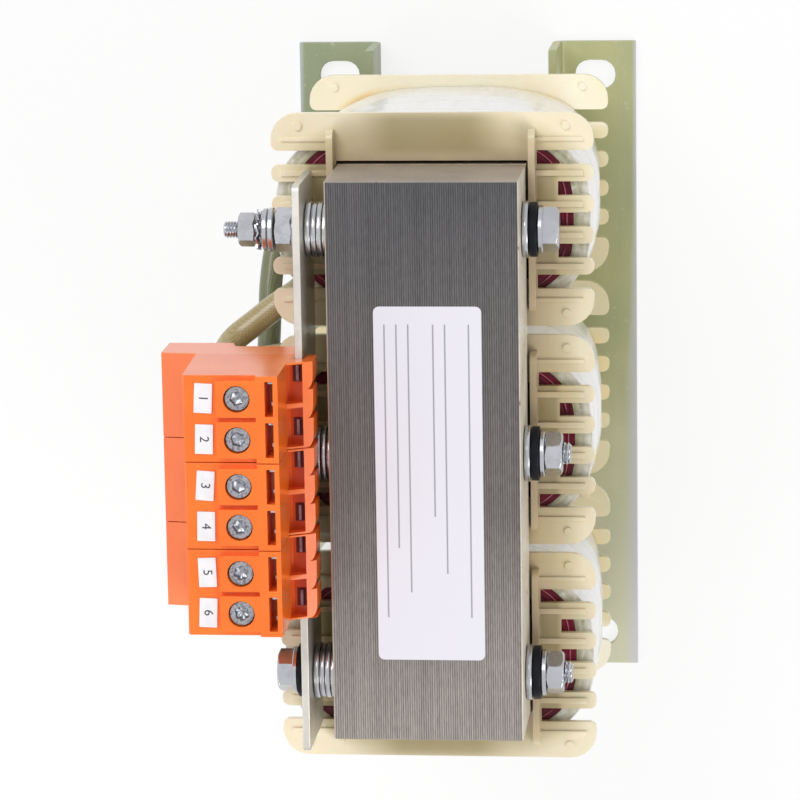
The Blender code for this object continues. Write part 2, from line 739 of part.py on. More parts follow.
def stack(start, *heights):
    """Levels of pieces piled up with the contact clearance between them."""
    levels = []
    at = start
    for height in heights:
        levels.append((at + CONTACT, at + CONTACT + height))
        at += CONTACT + height
    return levels


def washer(name, outer, thickness, finish, at, rotation):
    bore = BOLT_RADIUS + BOLT_HOLE_CLEARANCE
    mesh = turned(name, ring_profile(outer, bore, 0.0, thickness), WASHER_SEGMENTS)
    place(name, mesh, finish, at, rotation)


def bolt(name, at, rotation, seat, length, stud=0.0):
    """Hexagon bolt with a captive washer under its head: head above seat, shank going down."""
    under_head = seat + HEAD_WASHER_THICKNESS
    profile = [
        (0.0, under_head + HEAD_HEIGHT / 2),
        (BOLT_RADIUS, under_head + HEAD_HEIGHT / 2),
        (BOLT_RADIUS, under_head),
        (HEAD_WASHER_RADIUS, under_head),
        (HEAD_WASHER_RADIUS, seat),
        (BOLT_RADIUS, seat),
        (BOLT_RADIUS, seat - length),
    ]
    if stud > 0.0:
        profile.append((STUD_RADIUS, seat - length))
        profile.append((STUD_RADIUS, seat - length - stud))
    profile.append((0.0, profile[-1][1]))
    shank = turned(name, profile, BOLT_SEGMENTS)
    body = place(name, shank, "zinc_fastener", at, rotation)
    head = hex_mesh(f"{name}_head", HEX_ACROSS_FLATS, under_head - CONTACT, under_head + HEAD_HEIGHT)
    combine(body, tool(f"{name}_head", head, at, rotation), "UNION")


def nut(name, at, rotation, seat, flats, height, bore, collar, collar_height):
    """Hexagon nut with a captive washer: the collar mesh reaches a little into the hexagon."""
    base = seat + collar_height
    body = place(name, hex_mesh(name, flats, base, base + height), "zinc_fastener", at, rotation)
    combine(body, tool(f"{name}_collar", collar, at, rotation), "UNION")
    middle = (0.0, 0.0, base + height / 2)
    drill = rod_mesh(f"{name}_bore", bore, 4 * height, BOLT_SEGMENTS, middle)
    combine(body, tool(f"{name}_bore", drill, at, rotation), "DIFFERENCE")


def large_nut(name, at, rotation, seat):
    """M8 nut on a plain washer."""
    bore = BOLT_RADIUS + BOLT_HOLE_CLEARANCE
    thickness = 1.5 * HEAD_WASHER_THICKNESS
    middle = (0.0, 0.0, seat + thickness / 2)
    collar = rod_mesh(f"{name}_collar", HEAD_WASHER_RADIUS, thickness, WASHER_SEGMENTS, middle)
    nut(name, at, rotation, seat, HEX_ACROSS_FLATS, NUT_HEIGHT, bore, collar, HEAD_WASHER_THICKNESS)


def make_upper_bolts():
    """Three bolts through the upper yoke and the terminal plate, the first one reversed."""
    rear = stack(SIDE_Y, STEEL_WASHER_THICKNESS, INSULATING_WASHER_THICKNESS)
    rear_seat = rear[-1][1] + CONTACT
    front = stack(-PLATE_FRONT_Y, INSULATING_WASHER_THICKNESS)
    front_seat = front[-1][1] + CONTACT
    nut_top = HEAD_WASHER_THICKNESS + NUT_HEIGHT
    for k, x in enumerate(COIL_XS, 1):
        at = (x, 0.0, Z_UPPER_BOLTS)
        for (low, _), kind, outer, thickness, finish in (
            (rear[0], "steel_washer", STEEL_WASHER_RADIUS, STEEL_WASHER_THICKNESS, "zinc_fastener"),
            (
                rear[1],
                "insulating_washer_rear",
                INSULATING_WASHER_RADIUS,
                INSULATING_WASHER_THICKNESS,
                "black_insulator",
            ),
        ):
            washer(f"{kind}_{k}", outer, thickness, finish, (x, low, Z_UPPER_BOLTS), TO_REAR)
        spacer = turned(f"plate_spacer_{k}", spacer_profile(), WASHER_SEGMENTS)
        spacer_at = (x, -(SIDE_Y + CONTACT), Z_UPPER_BOLTS)
        place(f"plate_spacer_{k}", spacer, "zinc_fastener", spacer_at, TO_FRONT)
        if k == 1:
            earth_seat = -PLATE_FRONT_Y + CONTACT
            shank = rear_seat + earth_seat + nut_top
            stud = 2 * CONTACT + EARTH_WASHER_THICKNESS + LOCK_WASHER_THICKNESS
            stud += EARTH_NUT_HEIGHT + STUD_END
            bolt(f"upper_bolt_{k}", at, TO_REAR, rear_seat, shank, stud)
            large_nut(f"upper_nut_{k}", at, TO_FRONT, earth_seat)
            make_earth_stack(at, earth_seat + nut_top)
            continue
        at_washer = (x, -front[0][0], Z_UPPER_BOLTS)
        washer(
            f"insulating_washer_front_{k}",
            INSULATING_WASHER_RADIUS,
            INSULATING_WASHER_THICKNESS,
            "black_insulator",
            at_washer,
            TO_FRONT,
        )
        bolt(f"upper_bolt_{k}", at, TO_FRONT, front_seat, front_seat + rear_seat + nut_top + BOLT_END)
        large_nut(f"upper_nut_{k}", at, TO_REAR, rear_seat)


def toothed_outline(bore):
    """A ring of square teeth round a lock washer."""
    points = []
    valley = (LOCK_WASHER_RADIUS + bore) / 2 + bore / 4
    for k in range(2 * LOCK_TEETH):
        radius = LOCK_WASHER_RADIUS if k % 2 == 0 else valley
        for step in (-0.35, 0.35):
            angle = (k + step) * math.pi / LOCK_TEETH
            points.append((radius * math.cos(angle), radius * math.sin(angle)))
    return points


def make_earth_stack(at, start):
    """Two flat washers, then a nut with its toothed lock washer, on the stud end of the first bolt."""
    bore = STUD_RADIUS + BOLT_HOLE_CLEARANCE
    washers, lock = stack(start, EARTH_WASHER_THICKNESS, LOCK_WASHER_THICKNESS)
    middle = sum(washers) / 2
    groove = EARTH_WASHER_THICKNESS / 10
    profile = [
        (EARTH_WASHER_RADIUS, washers[1]),
        (EARTH_WASHER_RADIUS, middle + groove),
        (EARTH_WASHER_RADIUS - groove, middle),
        (EARTH_WASHER_RADIUS, middle - groove),
        (EARTH_WASHER_RADIUS, washers[0]),
        (bore, washers[0]),
        (bore, washers[1]),
    ]
    mesh = turned("earth_washers", profile, WASHER_SEGMENTS)
    place("earth_washers", mesh, "zinc_fastener", at, TO_FRONT)
    reach = lock[1] + LOCK_WASHER_THICKNESS / 4
    collar = prism_mesh("earth_nut_collar", toothed_outline(bore), lock[0], reach)
    thickness = LOCK_WASHER_THICKNESS
    nut("earth_nut", at, TO_FRONT, lock[0], EARTH_NUT_FLATS, EARTH_NUT_HEIGHT, bore, collar, thickness)


def make_lower_bolts():
    """Three bolts through the lower yoke that hold the two feet."""
    seat = FOOT_INNER_Y + FOOT_THICKNESS + CONTACT
    length = 2 * seat + HEAD_WASHER_THICKNESS + NUT_HEIGHT + BOLT_END
    for k, x in enumerate(COIL_XS, 1):
        at = (x, 0.0, Z_LOWER_BOLTS)
        bolt(f"lower_bolt_{k}", at, TO_FRONT, seat, length)
        large_nut(f"lower_nut_{k}", at, TO_REAR, seat)


def make_feet():
    """Two angle brackets, slotted at both ends."""
    inner = FOOT_BEND_RADIUS
    outer = FOOT_BEND_RADIUS + FOOT_THICKNESS
    half = FOOT_LENGTH / 2
    for name, side in (("foot_front", -1), ("foot_rear", 1)):
        near = side * FOOT_INNER_Y
        far = side * FOOT_OUTER_Y
        outline = rounded(
            [
                (near, 0.0, outer),
                (far, 0.0, 0.0),
                (far, FOOT_THICKNESS, 0.0),
                (near + side * FOOT_THICKNESS, FOOT_THICKNESS, inner),
                (near + side * FOOT_THICKNESS, FOOT_UPRIGHT, 0.0),
                (near, FOOT_UPRIGHT, 0.0),
            ]
        )
        foot = place(name, along_x(prism_mesh(name, outline, -half, half)), "yellow_chromate")
        low, high = sorted((near - side * CONTACT, near + side * (FOOT_THICKNESS + CONTACT)))
        radius = BOLT_RADIUS + BOLT_HOLE_CLEARANCE
        combine(foot, cross_holes(f"{name}_holes", COIL_XS, Z_LOWER_BOLTS, radius, low, high), "DIFFERENCE")
        cutters = []
        for x in (-SLOT_SPACING_X / 2, SLOT_SPACING_X / 2):
            slot = rounded_rectangle(SLOT_WIDTH / 2, SLOT_LENGTH / 2, SLOT_WIDTH / 2 - CONTACT)
            slot = [(x + px, side * SLOT_Y + py) for px, py in slot]
            cutters.append(prism_mesh("foot_slot", slot, -FOOT_THICKNESS, 2 * FOOT_THICKNESS))
        combine(foot, tool(f"{name}_slots", merged_mesh(f"{name}_slots", cutters)), "DIFFERENCE")


def block_outline():
    """Side view of a terminal block as (y, z): ledge, tower, shoulder and hook over the plate."""
    z_plate = Z_CORE_TOP + CONTACT
    rows_between = (START_ROW_Y + FINISH_ROW_Y) / 2
    ledge_top = Z_BLOCK_BOTTOM + LEDGE_HEIGHT
    tag_top = Z_BLOCK_TOP - TAG_STEP
    return [
        (LEDGE_FRONT_Y, Z_BLOCK_BOTTOM),
        (rows_between - UNDERSIDE_SLOPE / 2, Z_BLOCK_BOTTOM),
        (rows_between + UNDERSIDE_SLOPE / 2, Z_REAR_UNDERSIDE),
        (BLOCK_REAR_Y, Z_REAR_UNDERSIDE),
        (BLOCK_REAR_Y, z_plate),
        (HOOK_INNER_Y, z_plate),
        (HOOK_INNER_Y, Z_CORE_TOP - HOOK_DEPTH),
        (HOOK_OUTER_Y, Z_CORE_TOP - HOOK_DEPTH),
        (HOOK_OUTER_Y, z_plate + HOOK_ROOF),
        (UPPER_REAR_Y, z_plate + BLOCK_SHOULDER),
        (UPPER_REAR_Y, Z_BLOCK_TOP),
        (BLOCK_FRONT_Y + TAG_DEPTH, Z_BLOCK_TOP),
        (BLOCK_FRONT_Y + TAG_DEPTH, tag_top),
        (BLOCK_FRONT_Y + BLOCK_TOP_CHAMFER, tag_top),
        (BLOCK_FRONT_Y, tag_top - BLOCK_TOP_CHAMFER),
        (BLOCK_FRONT_Y - BLOCK_DRAFT, ledge_top + LEDGE_RISE),
        (LEDGE_FRONT_Y, ledge_top),
    ]


def pole_cutters(pole):
    """What is cut out for one pole: probe slot, pocket, wire entry and screw room."""
    over = BLOCK_SHOULDER
    head = SCREW_HEAD_RADIUS + CONTACT
    shank = SCREW_SHANK_RADIUS + CONTACT
    under_head = -SCREW_SUNK - SCREW_HEAD_HEIGHT - CONTACT
    room = [(0.0, over), (head, over), (head, under_head), (shank, under_head)]
    room += [(shank, -SCREW_LENGTH), (0.0, -SCREW_LENGTH)]
    half = PROBE_SLOT_LENGTH / 2
    far = UPPER_REAR_Y - PROBE_SLOT_INSET
    low = (pole - half, far - PROBE_SLOT_WIDTH, Z_BLOCK_TOP - PROBE_SLOT_DEPTH)
    slot = box_mesh("probe_slot", low, (pole + half, far, Z_BLOCK_TOP + over))
    middle = math.copysign(BLOCK_PITCH / 4, pole)
    half = BLOCK_PITCH / 4 - POCKET_PARTITION / 2
    floor = Z_CORE_TOP + CONTACT + POCKET_FLOOR
    low = (middle - half, UPPER_REAR_Y - CONTACT, floor)
    high = (middle + half, HOOK_OUTER_Y - TONGUE_BITE - POCKET_WALL, floor + BLOCK_SHOULDER)
    pocket = box_mesh("pocket", low, high)
    half = WIRE_ENTRY_WIDTH / 2
    sill = Z_BLOCK_BOTTOM + LEDGE_HEIGHT + LEDGE_RISE + WIRE_ENTRY_SILL
    low = (pole - half, BLOCK_FRONT_Y - 2 * BLOCK_DRAFT, sill)
    high = (pole + half, BLOCK_FRONT_Y + WIRE_ENTRY_DEPTH, sill + WIRE_ENTRY_HEIGHT)
    entry = box_mesh("wire_entry", low, high)
    screw_room = moved(turned("screw_room", room, SCREW_SEGMENTS), (pole, SCREW_Y, Z_BLOCK_TOP))
    return [slot, pocket, entry, screw_room]


def groove_cutters():
    """Grooves on both sides of the raised squares that the clamp screws stand in."""
    inner = (POLE_PITCH - SQUARE_WIDTH) / 2
    outer = (POLE_PITCH + SQUARE_WIDTH) / 2
    front = BLOCK_FRONT_Y + TAG_DEPTH
    meshes = []
    for left, right in ((-BLOCK_PITCH, -outer), (-inner, inner), (outer, BLOCK_PITCH)):
        low = (left, front - TAG_STEP, Z_BLOCK_TOP - TAG_STEP)
        meshes.append(box_mesh("groove", low, (right, front + SQUARE_DEPTH, Z_BLOCK_TOP + TAG_STEP)))
    return meshes


def tongue_cutters():
    """What is cut off the hook to leave three tongues, each flat and then curving inward."""
    pitch = BLOCK_PITCH / TONGUES
    outside = HOOK_OUTER_Y + TONGUE_BITE
    meshes = []
    for k in range(TONGUES):
        start = k * pitch - BLOCK_PITCH / 2
        flat = start + TONGUE_FLAT_SHARE * pitch
        reach = pitch - TONGUE_FLAT_SHARE * pitch - CONTACT
        outline = [(flat, outside)]
        for step in range(TONGUE_STEPS + 1):
            angle = math.pi / 2 * step / TONGUE_STEPS
            drop = TONGUE_BITE * (1.0 - math.cos(angle))
            outline.append((flat + reach * math.sin(angle), HOOK_OUTER_Y - drop))
        outline.append((flat + reach, outside))
        low = Z_CORE_TOP - 2 * HOOK_DEPTH
        meshes.append(prism_mesh("tongue_cut", outline, low, Z_CORE_TOP + 2 * BLOCK_SHOULDER))
    return meshes


def block_cutters(name, x):
    """One cutter for the poles and grooves, and another for the tongues."""
    meshes = pole_cutters(-POLE_PITCH / 2) + pole_cutters(POLE_PITCH / 2) + groove_cutters()
    where = (x, 0.0, 0.0)
    first = tool(f"{name}_cutter", merged_mesh(f"{name}_cutter", meshes), where)
    tongues = merged_mesh(f"{name}_tongues", tongue_cutters())
    return [first, tool(f"{name}_tongues", tongues, where)]


def lead_row(pole):
    """Y of the socket, height of the underside there, and sleeve radius of a pole's lead."""
    if pole <= BLOCK_COUNT:
        return START_ROW_Y, Z_BLOCK_BOTTOM, LEAD_RADIUS_START
    return FINISH_ROW_Y, Z_REAR_UNDERSIDE, LEAD_RADIUS_FINISH


def lead_sockets(name, x, number):
    """Round sockets in the underside of a block for the two leads that end there."""
    sockets = []
    for side, pole in ((-1, 2 * number - 1), (1, 2 * number)):
        row_y, underside, radius = lead_row(pole)
        depth = LEAD_SOCKET_DEPTH + CONTACT
        middle = (side * POLE_PITCH / 2, row_y, underside)
        sockets.append(rod_mesh("socket", radius + CONTACT, 2 * depth, LEAD_SEGMENTS, middle))
    return tool(name, merged_mesh(name, sockets), (x, 0.0, 0.0))


def bolt_relief():
    """Room for the middle bolt's head and washers behind the blocks."""
    half = INSULATING_WASHER_RADIUS + RELIEF_CLEARANCE
    head = INSULATING_WASHER_THICKNESS + HEAD_WASHER_THICKNESS + HEAD_HEIGHT + 2 * CONTACT
    depth = head + RELIEF_CLEARANCE
    low = (-half, PLATE_FRONT_Y - depth, Z_REAR_UNDERSIDE - RELIEF_CLEARANCE)
    high = (half, PLATE_FRONT_Y + CONTACT, Z_UPPER_BOLTS + half)
    return tool("bolt_relief", box_mesh("bolt_relief", low, high))


def make_blocks():
    """Three two-pole terminal blocks side by side, with their clamp screws."""
    half = BLOCK_WIDTH / 2
    relief = bolt_relief()
    for number, x in enumerate(BLOCK_XS, 1):
        name = f"terminal_block_{number}"
        mesh = along_x(prism_mesh(name, block_outline(), -half, half))
        block = place(name, mesh, "orange_polyamide", (x, 0.0, 0.0))
        for cutter in block_cutters(name, x):
            combine(block, cutter, "DIFFERENCE")
        combine(block, lead_sockets(f"{name}_sockets", x, number), "DIFFERENCE")
        if abs(x) < half + INSULATING_WASHER_RADIUS + RELIEF_CLEARANCE:
            combine(block, relief, "DIFFERENCE")
        for side, pole in ((-1, 2 * number - 1), (1, 2 * number)):
            make_clamp_screw(f"clamp_screw_{pole}", (x + side * POLE_PITCH / 2, SCREW_Y, Z_SCREW_HEADS))


def make_clamp_screw(name, at):
    """Round head with a hexagon socket, on a short shank."""
    chamfer = SCREW_HEAD_HEIGHT / 8
    tip = SCREW_SUNK + CONTACT - SCREW_LENGTH
    profile = [
        (0.0, 0.0),
        (SCREW_HEAD_RADIUS - chamfer, 0.0),
        (SCREW_HEAD_RADIUS, -chamfer),
        (SCREW_HEAD_RADIUS, -SCREW_HEAD_HEIGHT),
        (SCREW_SHANK_RADIUS, -SCREW_HEAD_HEIGHT),
        (SCREW_SHANK_RADIUS, tip),
        (0.0, tip),
    ]
    screw = place(name, turned(name, profile, SCREW_SEGMENTS), "zinc_fastener", at)
    key = rod_mesh(f"{name}_key", HEX_SOCKET_RADIUS, 2 * HEX_SOCKET_DEPTH, 6)
    combine(screw, tool(f"{name}_key", key, at), "DIFFERENCE")


def smooth_route(points, spacing):
    """Points read from a Catmull-Rom curve through the route's own points."""
    ends = [tuple(2 * a - b for a, b in zip(points[0], points[1]))]
    tail = [tuple(2 * a - b for a, b in zip(points[-1], points[-2]))]
    padded = ends + list(points) + tail
    route = [points[0]]
    for k in range(1, len(padded) - 2):
        p0, p1, p2, p3 = padded[k - 1 : k + 3]
        steps = max(1, round(math.dist(p1, p2) / spacing))
        for step in range(1, steps + 1):
            t = step / steps
            point = []
            for a, b, c, d in zip(p0, p1, p2, p3):
                bend = (2 * a - 5 * b + 4 * c - d) * t * t + (3 * b - a - 3 * c + d) * t**3
                point.append(b + 0.5 * ((c - a) * t + bend))
            route.append(tuple(point))
    return route


def lead(name, points, radius):
    """A sleeved lead as a round tube along its route."""
    route = smooth_route(points, LEAD_STEP)
    curve = bpy.data.curves.new(name, "CURVE")
    curve.dimensions = "3D"
    curve.bevel_depth = radius
    curve.bevel_resolution = LEAD_SEGMENTS // 4 - 1
    curve.use_fill_caps = True
    spline = curve.splines.new("POLY")
    spline.points.add(len(route) - 1)
    for point, place_xyz in zip(spline.points, route):
        point.co = (*place_xyz, 1.0)
    mesh = curve_to_mesh(name, curve)
    smooth(mesh, 50.0)
    place(name, mesh, "oiled_sleeve")


def wrap_exit(coil_x, share):
    """A point on a wrap's front, its share of the half width from the middle, and the outward direction."""
    half_x = WRAP_HALF_X + WRAP_BULGE_X
    half_y = WRAP_HALF_Y + WRAP_BULGE_Y
    x = share * half_x
    y = -half_y * (1.0 - abs(share) ** WRAP_ROUNDING) ** (1.0 / WRAP_ROUNDING)
    slope_x = math.copysign(abs(share) ** (WRAP_ROUNDING - 1.0), share) / half_x
    slope_y = -((abs(y) / half_y) ** (WRAP_ROUNDING - 1.0)) / half_y
    size = math.hypot(slope_x, slope_y)
    return coil_x + x, y, slope_x / size, slope_y / size


def make_leads():
    """Winding leads: starts 1 to 3 in the outer row of sockets, finishes 4 to 6 in the inner row.

    Each route gives its coil, where on the wrap it starts and its depth, then points on the way.
    Those are shares: x of the coil pitch, y of the flange's half length, depth of the yoke height.
    """
    routes = {
        1: (0, 0.68, 1.32, [(-0.590, 1.006, 1.31), (-0.510, 1.150, 1.27), (-0.440, 1.280, 1.20)]),
        2: (1, -0.74, 1.33, [(-0.352, 1.035, 1.31), (-0.336, 1.172, 1.27), (-0.263, 1.282, 1.16)]),
        3: (
            2,
            -0.27,
            1.58,
            [
                (0.862, 1.172, 1.58),
                (0.776, 1.291, 1.53),
                (0.605, 1.346, 1.42),
                (0.395, 1.355, 1.32),
                (0.184, 1.355, 1.21),
                (0.059, 1.346, 1.06),
            ],
        ),
        4: (
            0,
            0.26,
            2.11,
            [
                (-0.800, 1.075, 2.08),
                (-0.632, 1.105, 2.00),
                (-0.447, 1.110, 1.92),
                (-0.237, 1.120, 1.82),
                (-0.039, 1.120, 1.66),
                (0.105, 1.115, 1.39),
                (0.168, 1.104, 1.11),
            ],
        ),
        5: (1, 0.74, 1.58, [(0.366, 1.018, 1.50), (0.387, 1.090, 1.29)]),
        6: (2, -0.74, 1.58, [(0.624, 1.018, 1.53), (0.579, 1.090, 1.32)]),
    }
    for number, (coil, share, depth, points) in routes.items():
        block_x = BLOCK_XS[(number - 1) // 2]
        pole_x = block_x + (POLE_PITCH / 2 if number % 2 == 0 else -POLE_PITCH / 2)
        row_y, underside, radius = lead_row(number)
        x, y, out_x, out_y = wrap_exit(COIL_XS[coil], share)
        z = Z_CORE_TOP - depth * YOKE_HEIGHT
        route = []
        for reach in (2 * CONTACT, LEAD_STUB):
            route.append((x + reach * out_x, y + reach * out_y, z))
        for x, y, depth in points:
            route.append((x * COIL_PITCH, -y * FLANGE_HALF_Y, Z_CORE_TOP - depth * YOKE_HEIGHT))
        route.append((pole_x, row_y, underside - 2 * radius))
        route.append((pole_x, row_y, underside - radius / 2))
        route.append((pole_x, row_y, underside + LEAD_SOCKET_DEPTH))
        lead(f"lead_{number}", route, radius)


make_core()
make_bobbins()
make_coils()
make_plate()
make_upper_bolts()
make_lower_bolts()
make_feet()
make_blocks()
make_leads()
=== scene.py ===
import math
import bmesh
import bpy
import numpy as np
from mathutils import Matrix, Vector


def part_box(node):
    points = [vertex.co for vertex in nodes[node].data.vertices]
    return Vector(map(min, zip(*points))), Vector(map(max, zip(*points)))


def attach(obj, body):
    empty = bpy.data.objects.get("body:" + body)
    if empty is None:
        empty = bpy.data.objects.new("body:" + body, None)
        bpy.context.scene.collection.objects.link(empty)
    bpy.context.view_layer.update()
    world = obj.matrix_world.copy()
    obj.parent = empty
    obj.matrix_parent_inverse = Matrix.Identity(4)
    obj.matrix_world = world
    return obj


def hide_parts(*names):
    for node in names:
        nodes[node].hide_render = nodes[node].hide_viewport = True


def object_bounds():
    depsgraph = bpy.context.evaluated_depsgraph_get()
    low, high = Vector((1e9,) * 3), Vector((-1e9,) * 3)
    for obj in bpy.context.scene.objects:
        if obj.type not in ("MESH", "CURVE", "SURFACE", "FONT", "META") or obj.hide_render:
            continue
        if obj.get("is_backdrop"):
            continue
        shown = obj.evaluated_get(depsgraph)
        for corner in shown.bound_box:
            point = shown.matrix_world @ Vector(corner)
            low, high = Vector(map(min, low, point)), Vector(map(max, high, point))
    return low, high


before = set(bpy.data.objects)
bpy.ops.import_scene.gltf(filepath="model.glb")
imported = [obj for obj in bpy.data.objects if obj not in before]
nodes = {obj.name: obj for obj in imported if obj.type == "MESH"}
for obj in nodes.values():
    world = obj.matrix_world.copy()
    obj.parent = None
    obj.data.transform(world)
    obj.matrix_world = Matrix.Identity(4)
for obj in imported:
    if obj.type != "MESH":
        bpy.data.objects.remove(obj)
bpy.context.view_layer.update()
print("frame loaded:", len(nodes), "nodes")

# levels shared by several pieces, read from the solids
yokeLow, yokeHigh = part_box("upper_yoke")
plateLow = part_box("terminal_plate")[0]
coreY = (yokeLow.y + yokeHigh.y) / 2
topZ = yokeHigh.z
coilPitch = (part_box("bobbin_3")[0].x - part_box("bobbin_1")[0].x) / 2
wrapLow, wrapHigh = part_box("outer_wrap_2")
wrapHalf = ((wrapHigh.x - wrapLow.x) / 2, (wrapHigh.y - wrapLow.y) / 2)
copperLow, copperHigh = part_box("winding_2")
copperHalf = ((copperHigh.x - copperLow.x) / 2, (copperHigh.y - copperLow.y) / 2)
madeWeld, nodeWeld = 1e-7, 2e-6  # points closer than this are merged


class Value:  # one node output; + - * / on it add Math nodes
    def __init__(self, finish, socket):
        self.finish = finish
        self.socket = socket

    def maths(self, operation, *others):
        sockets = dict(enumerate((self, *others)))
        return self.finish.node("ShaderNodeMath", {"operation": operation}, sockets)

    def __add__(self, other):
        return self.maths("ADD", other)

    def __radd__(self, other):
        return self.maths("ADD", other)

    def __sub__(self, other):
        return self.maths("SUBTRACT", other)

    def __rsub__(self, other):
        return self.finish.node("ShaderNodeMath", {"operation": "SUBTRACT"}, {0: other, 1: self})

    def __mul__(self, other):
        return self.maths("MULTIPLY", other)

    def __rmul__(self, other):
        return self.maths("MULTIPLY", other)

    def __truediv__(self, other):
        return self.maths("DIVIDE", other)

    def __rtruediv__(self, other):
        return self.finish.node("ShaderNodeMath", {"operation": "DIVIDE"}, {0: other, 1: self})

    def size(self):
        return self.maths("ABSOLUTE")

    def line(self, width):  # 1 where the value is 0, falling to 0 at width on both sides
        return 1.0 - self.size().between(0.0, width)

    def between(self, low, high):  # 0 below low, 1 above high, smooth in between
        sockets = {"Value": self, "From Min": low, "From Max": high}
        return self.finish.node("ShaderNodeMapRange", {"interpolation_type": "SMOOTHSTEP"}, sockets)


class Finish:  # a Principled material and the nodes that drive it
    def __init__(self, name, colour, roughness, metallic=0.0, **fixed):
        self.material = bpy.data.materials.new(name)
        self.material.use_nodes = True
        self.tree = self.material.node_tree
        self.shader = self.tree.nodes["Principled BSDF"]
        self.set("Base Color", colour)
        self.set("Roughness", roughness)
        self.set("Metallic", metallic)
        for key, value in fixed.items():
            self.set(key.replace("_", " "), value)

    def feed(self, socket, value):
        if isinstance(value, Value):
            self.tree.links.new(value.socket, socket)
        elif isinstance(value, tuple) and len(value) == 3 and socket.type == "RGBA":
            socket.default_value = (*value, 1.0)
        else:
            socket.default_value = value

    def set(self, name, value):
        self.feed(self.shader.inputs[name], value)

    def node(self, kind, settings=None, sockets=None, out=0):
        made = self.tree.nodes.new(kind)
        for key, value in (settings or {}).items():
            if key == "stops":
                ramp = made.color_ramp
                while len(ramp.elements) < len(value):
                    ramp.elements.new(0.5)
                for element, (at, colour) in zip(ramp.elements, value):
                    element.position = at
                    element.color = (*colour, 1.0)
            else:
                setattr(made, key, value)
        for key, value in (sockets or {}).items():
            self.feed(made.inputs[key], value)
        return Value(self, made.outputs[out])

    def place(self, scale=(1.0, 1.0, 1.0)):  # object coordinates in metres, stretched by scale
        coords = self.node("ShaderNodeTexCoord", out="Object")
        return self.node("ShaderNodeMapping", None, {"Vector": coords, "Scale": scale})

    def axis(self, letter, coords=None):
        return self.node("ShaderNodeSeparateXYZ", None, {"Vector": coords or self.place()}, out=letter)

    def ramp(self, value, *stops):  # stops of (position, colour)
        return self.node("ShaderNodeValToRGB", {"stops": stops}, {0: value})

    def ring(self, half, power):
        # |x / a|^n + |y / b|^n in the frame of the nearest coil, which is 1 on its outline
        x = self.axis("X").maths("WRAP", coilPitch / 2, -coilPitch / 2).size() / half[0]
        y = (self.axis("Y") - coreY).size() / half[1]
        return x.maths("POWER", power) + y.maths("POWER", power)

    def noise(self, scale, detail=3.0, stretch=(1.0, 1.0, 1.0), rough=0.55):
        sockets = {"Vector": self.place(stretch), "Scale": scale, "Detail": detail, "Roughness": rough}
        return self.node("ShaderNodeTexNoise", None, sockets)

    def mix(self, share, first, second, blend="MIX"):
        settings = {"data_type": "RGBA", "blend_type": blend}
        return self.node("ShaderNodeMix", settings, {0: share, 6: first, 7: second}, 2)

    def bump(self, height, distance, strength=1.0, under=None):
        sockets = {"Height": height, "Distance": distance, "Strength": strength}
        if under is not None:
            sockets["Normal"] = under
        return self.node("ShaderNodeBump", None, sockets)


def dress(piece, finish):  # the finish on every material slot
    piece.data.materials.clear()
    piece.data.materials.append(finish.material)


def meshFrom(name, points, faces, uv=None):
    mesh = bpy.data.meshes.new(name)
    mesh.from_pydata(points.tolist(), [], faces.tolist())
    if uv is not None:
        layer = mesh.uv_layers.new(name="UVMap")
        corner = np.zeros(len(mesh.loops), np.int32)
        mesh.loops.foreach_get("vertex_index", corner)
        layer.data.foreach_set("uv", uv[corner].astype(np.float32).ravel())
    mesh.update()
    return mesh


def gridMesh(name, grid, closeRows=False, caps=False, uv=None):
    # grid[i, j] = point at row i and column j; columns always close, rows close on request,
    # and caps fill the first and the last row
    rows, columns = grid.shape[:2]
    points = grid.reshape(-1, 3)
    lastRow = rows if closeRows else rows - 1
    i, j = np.meshgrid(np.arange(lastRow), np.arange(columns), indexing="ij")
    below = i * columns
    above = (i + 1) % rows * columns
    right = (j + 1) % columns
    faces = np.stack([below + j, below + right, above + right, above + j], -1).reshape(-1, 4)
    mesh = meshFrom(name, points, faces, uv)
    if caps:
        work = bmesh.new()
        work.from_mesh(mesh)
        work.verts.ensure_lookup_table()
        work.faces.new([work.verts[k] for k in range(columns)][::-1])
        work.faces.new([work.verts[(rows - 1) * columns + k] for k in range(columns)])
        work.to_mesh(mesh)
        work.free()
    return mesh


def boxMesh(name, low, high):
    around = ((low[0], low[1]), (high[0], low[1]), (high[0], high[1]), (low[0], high[1]))
    grid = np.array([[(x, y, z) for x, y in around] for z in (low[2], high[2])])
    return tidyNormals(gridMesh(name, grid, caps=True))


def boxAbout(name, at, low, high):
    return boxMesh(name, np.add(at, low), np.add(at, high))


def roundedSheet(name, half, thick, corner, at, turn=0.0, steps=6):
    # corner arcs of the outline round its middle, turned by an angle, then raised by the thickness
    points = []
    for sx, sy, start in ((1, 1, 0.0), (-1, 1, 0.5), (-1, -1, 1.0), (1, -1, 1.5)):
        a = np.linspace(0, math.pi / 2, steps) + start * math.pi
        middle = np.array([sx * (half[0] - corner), sy * (half[1] - corner)])
        points.append(middle + corner * np.stack([np.cos(a), np.sin(a)], -1))
    turned = np.array([(math.cos(turn), math.sin(turn)), (-math.sin(turn), math.cos(turn))])
    flat = np.concatenate(points) @ turned + np.array(at[:2])
    rows = [np.concatenate([flat, np.full((len(flat), 1), at[2] + level)], 1) for level in (0.0, thick)]
    return tidyNormals(gridMesh(name, np.stack(rows), caps=True))


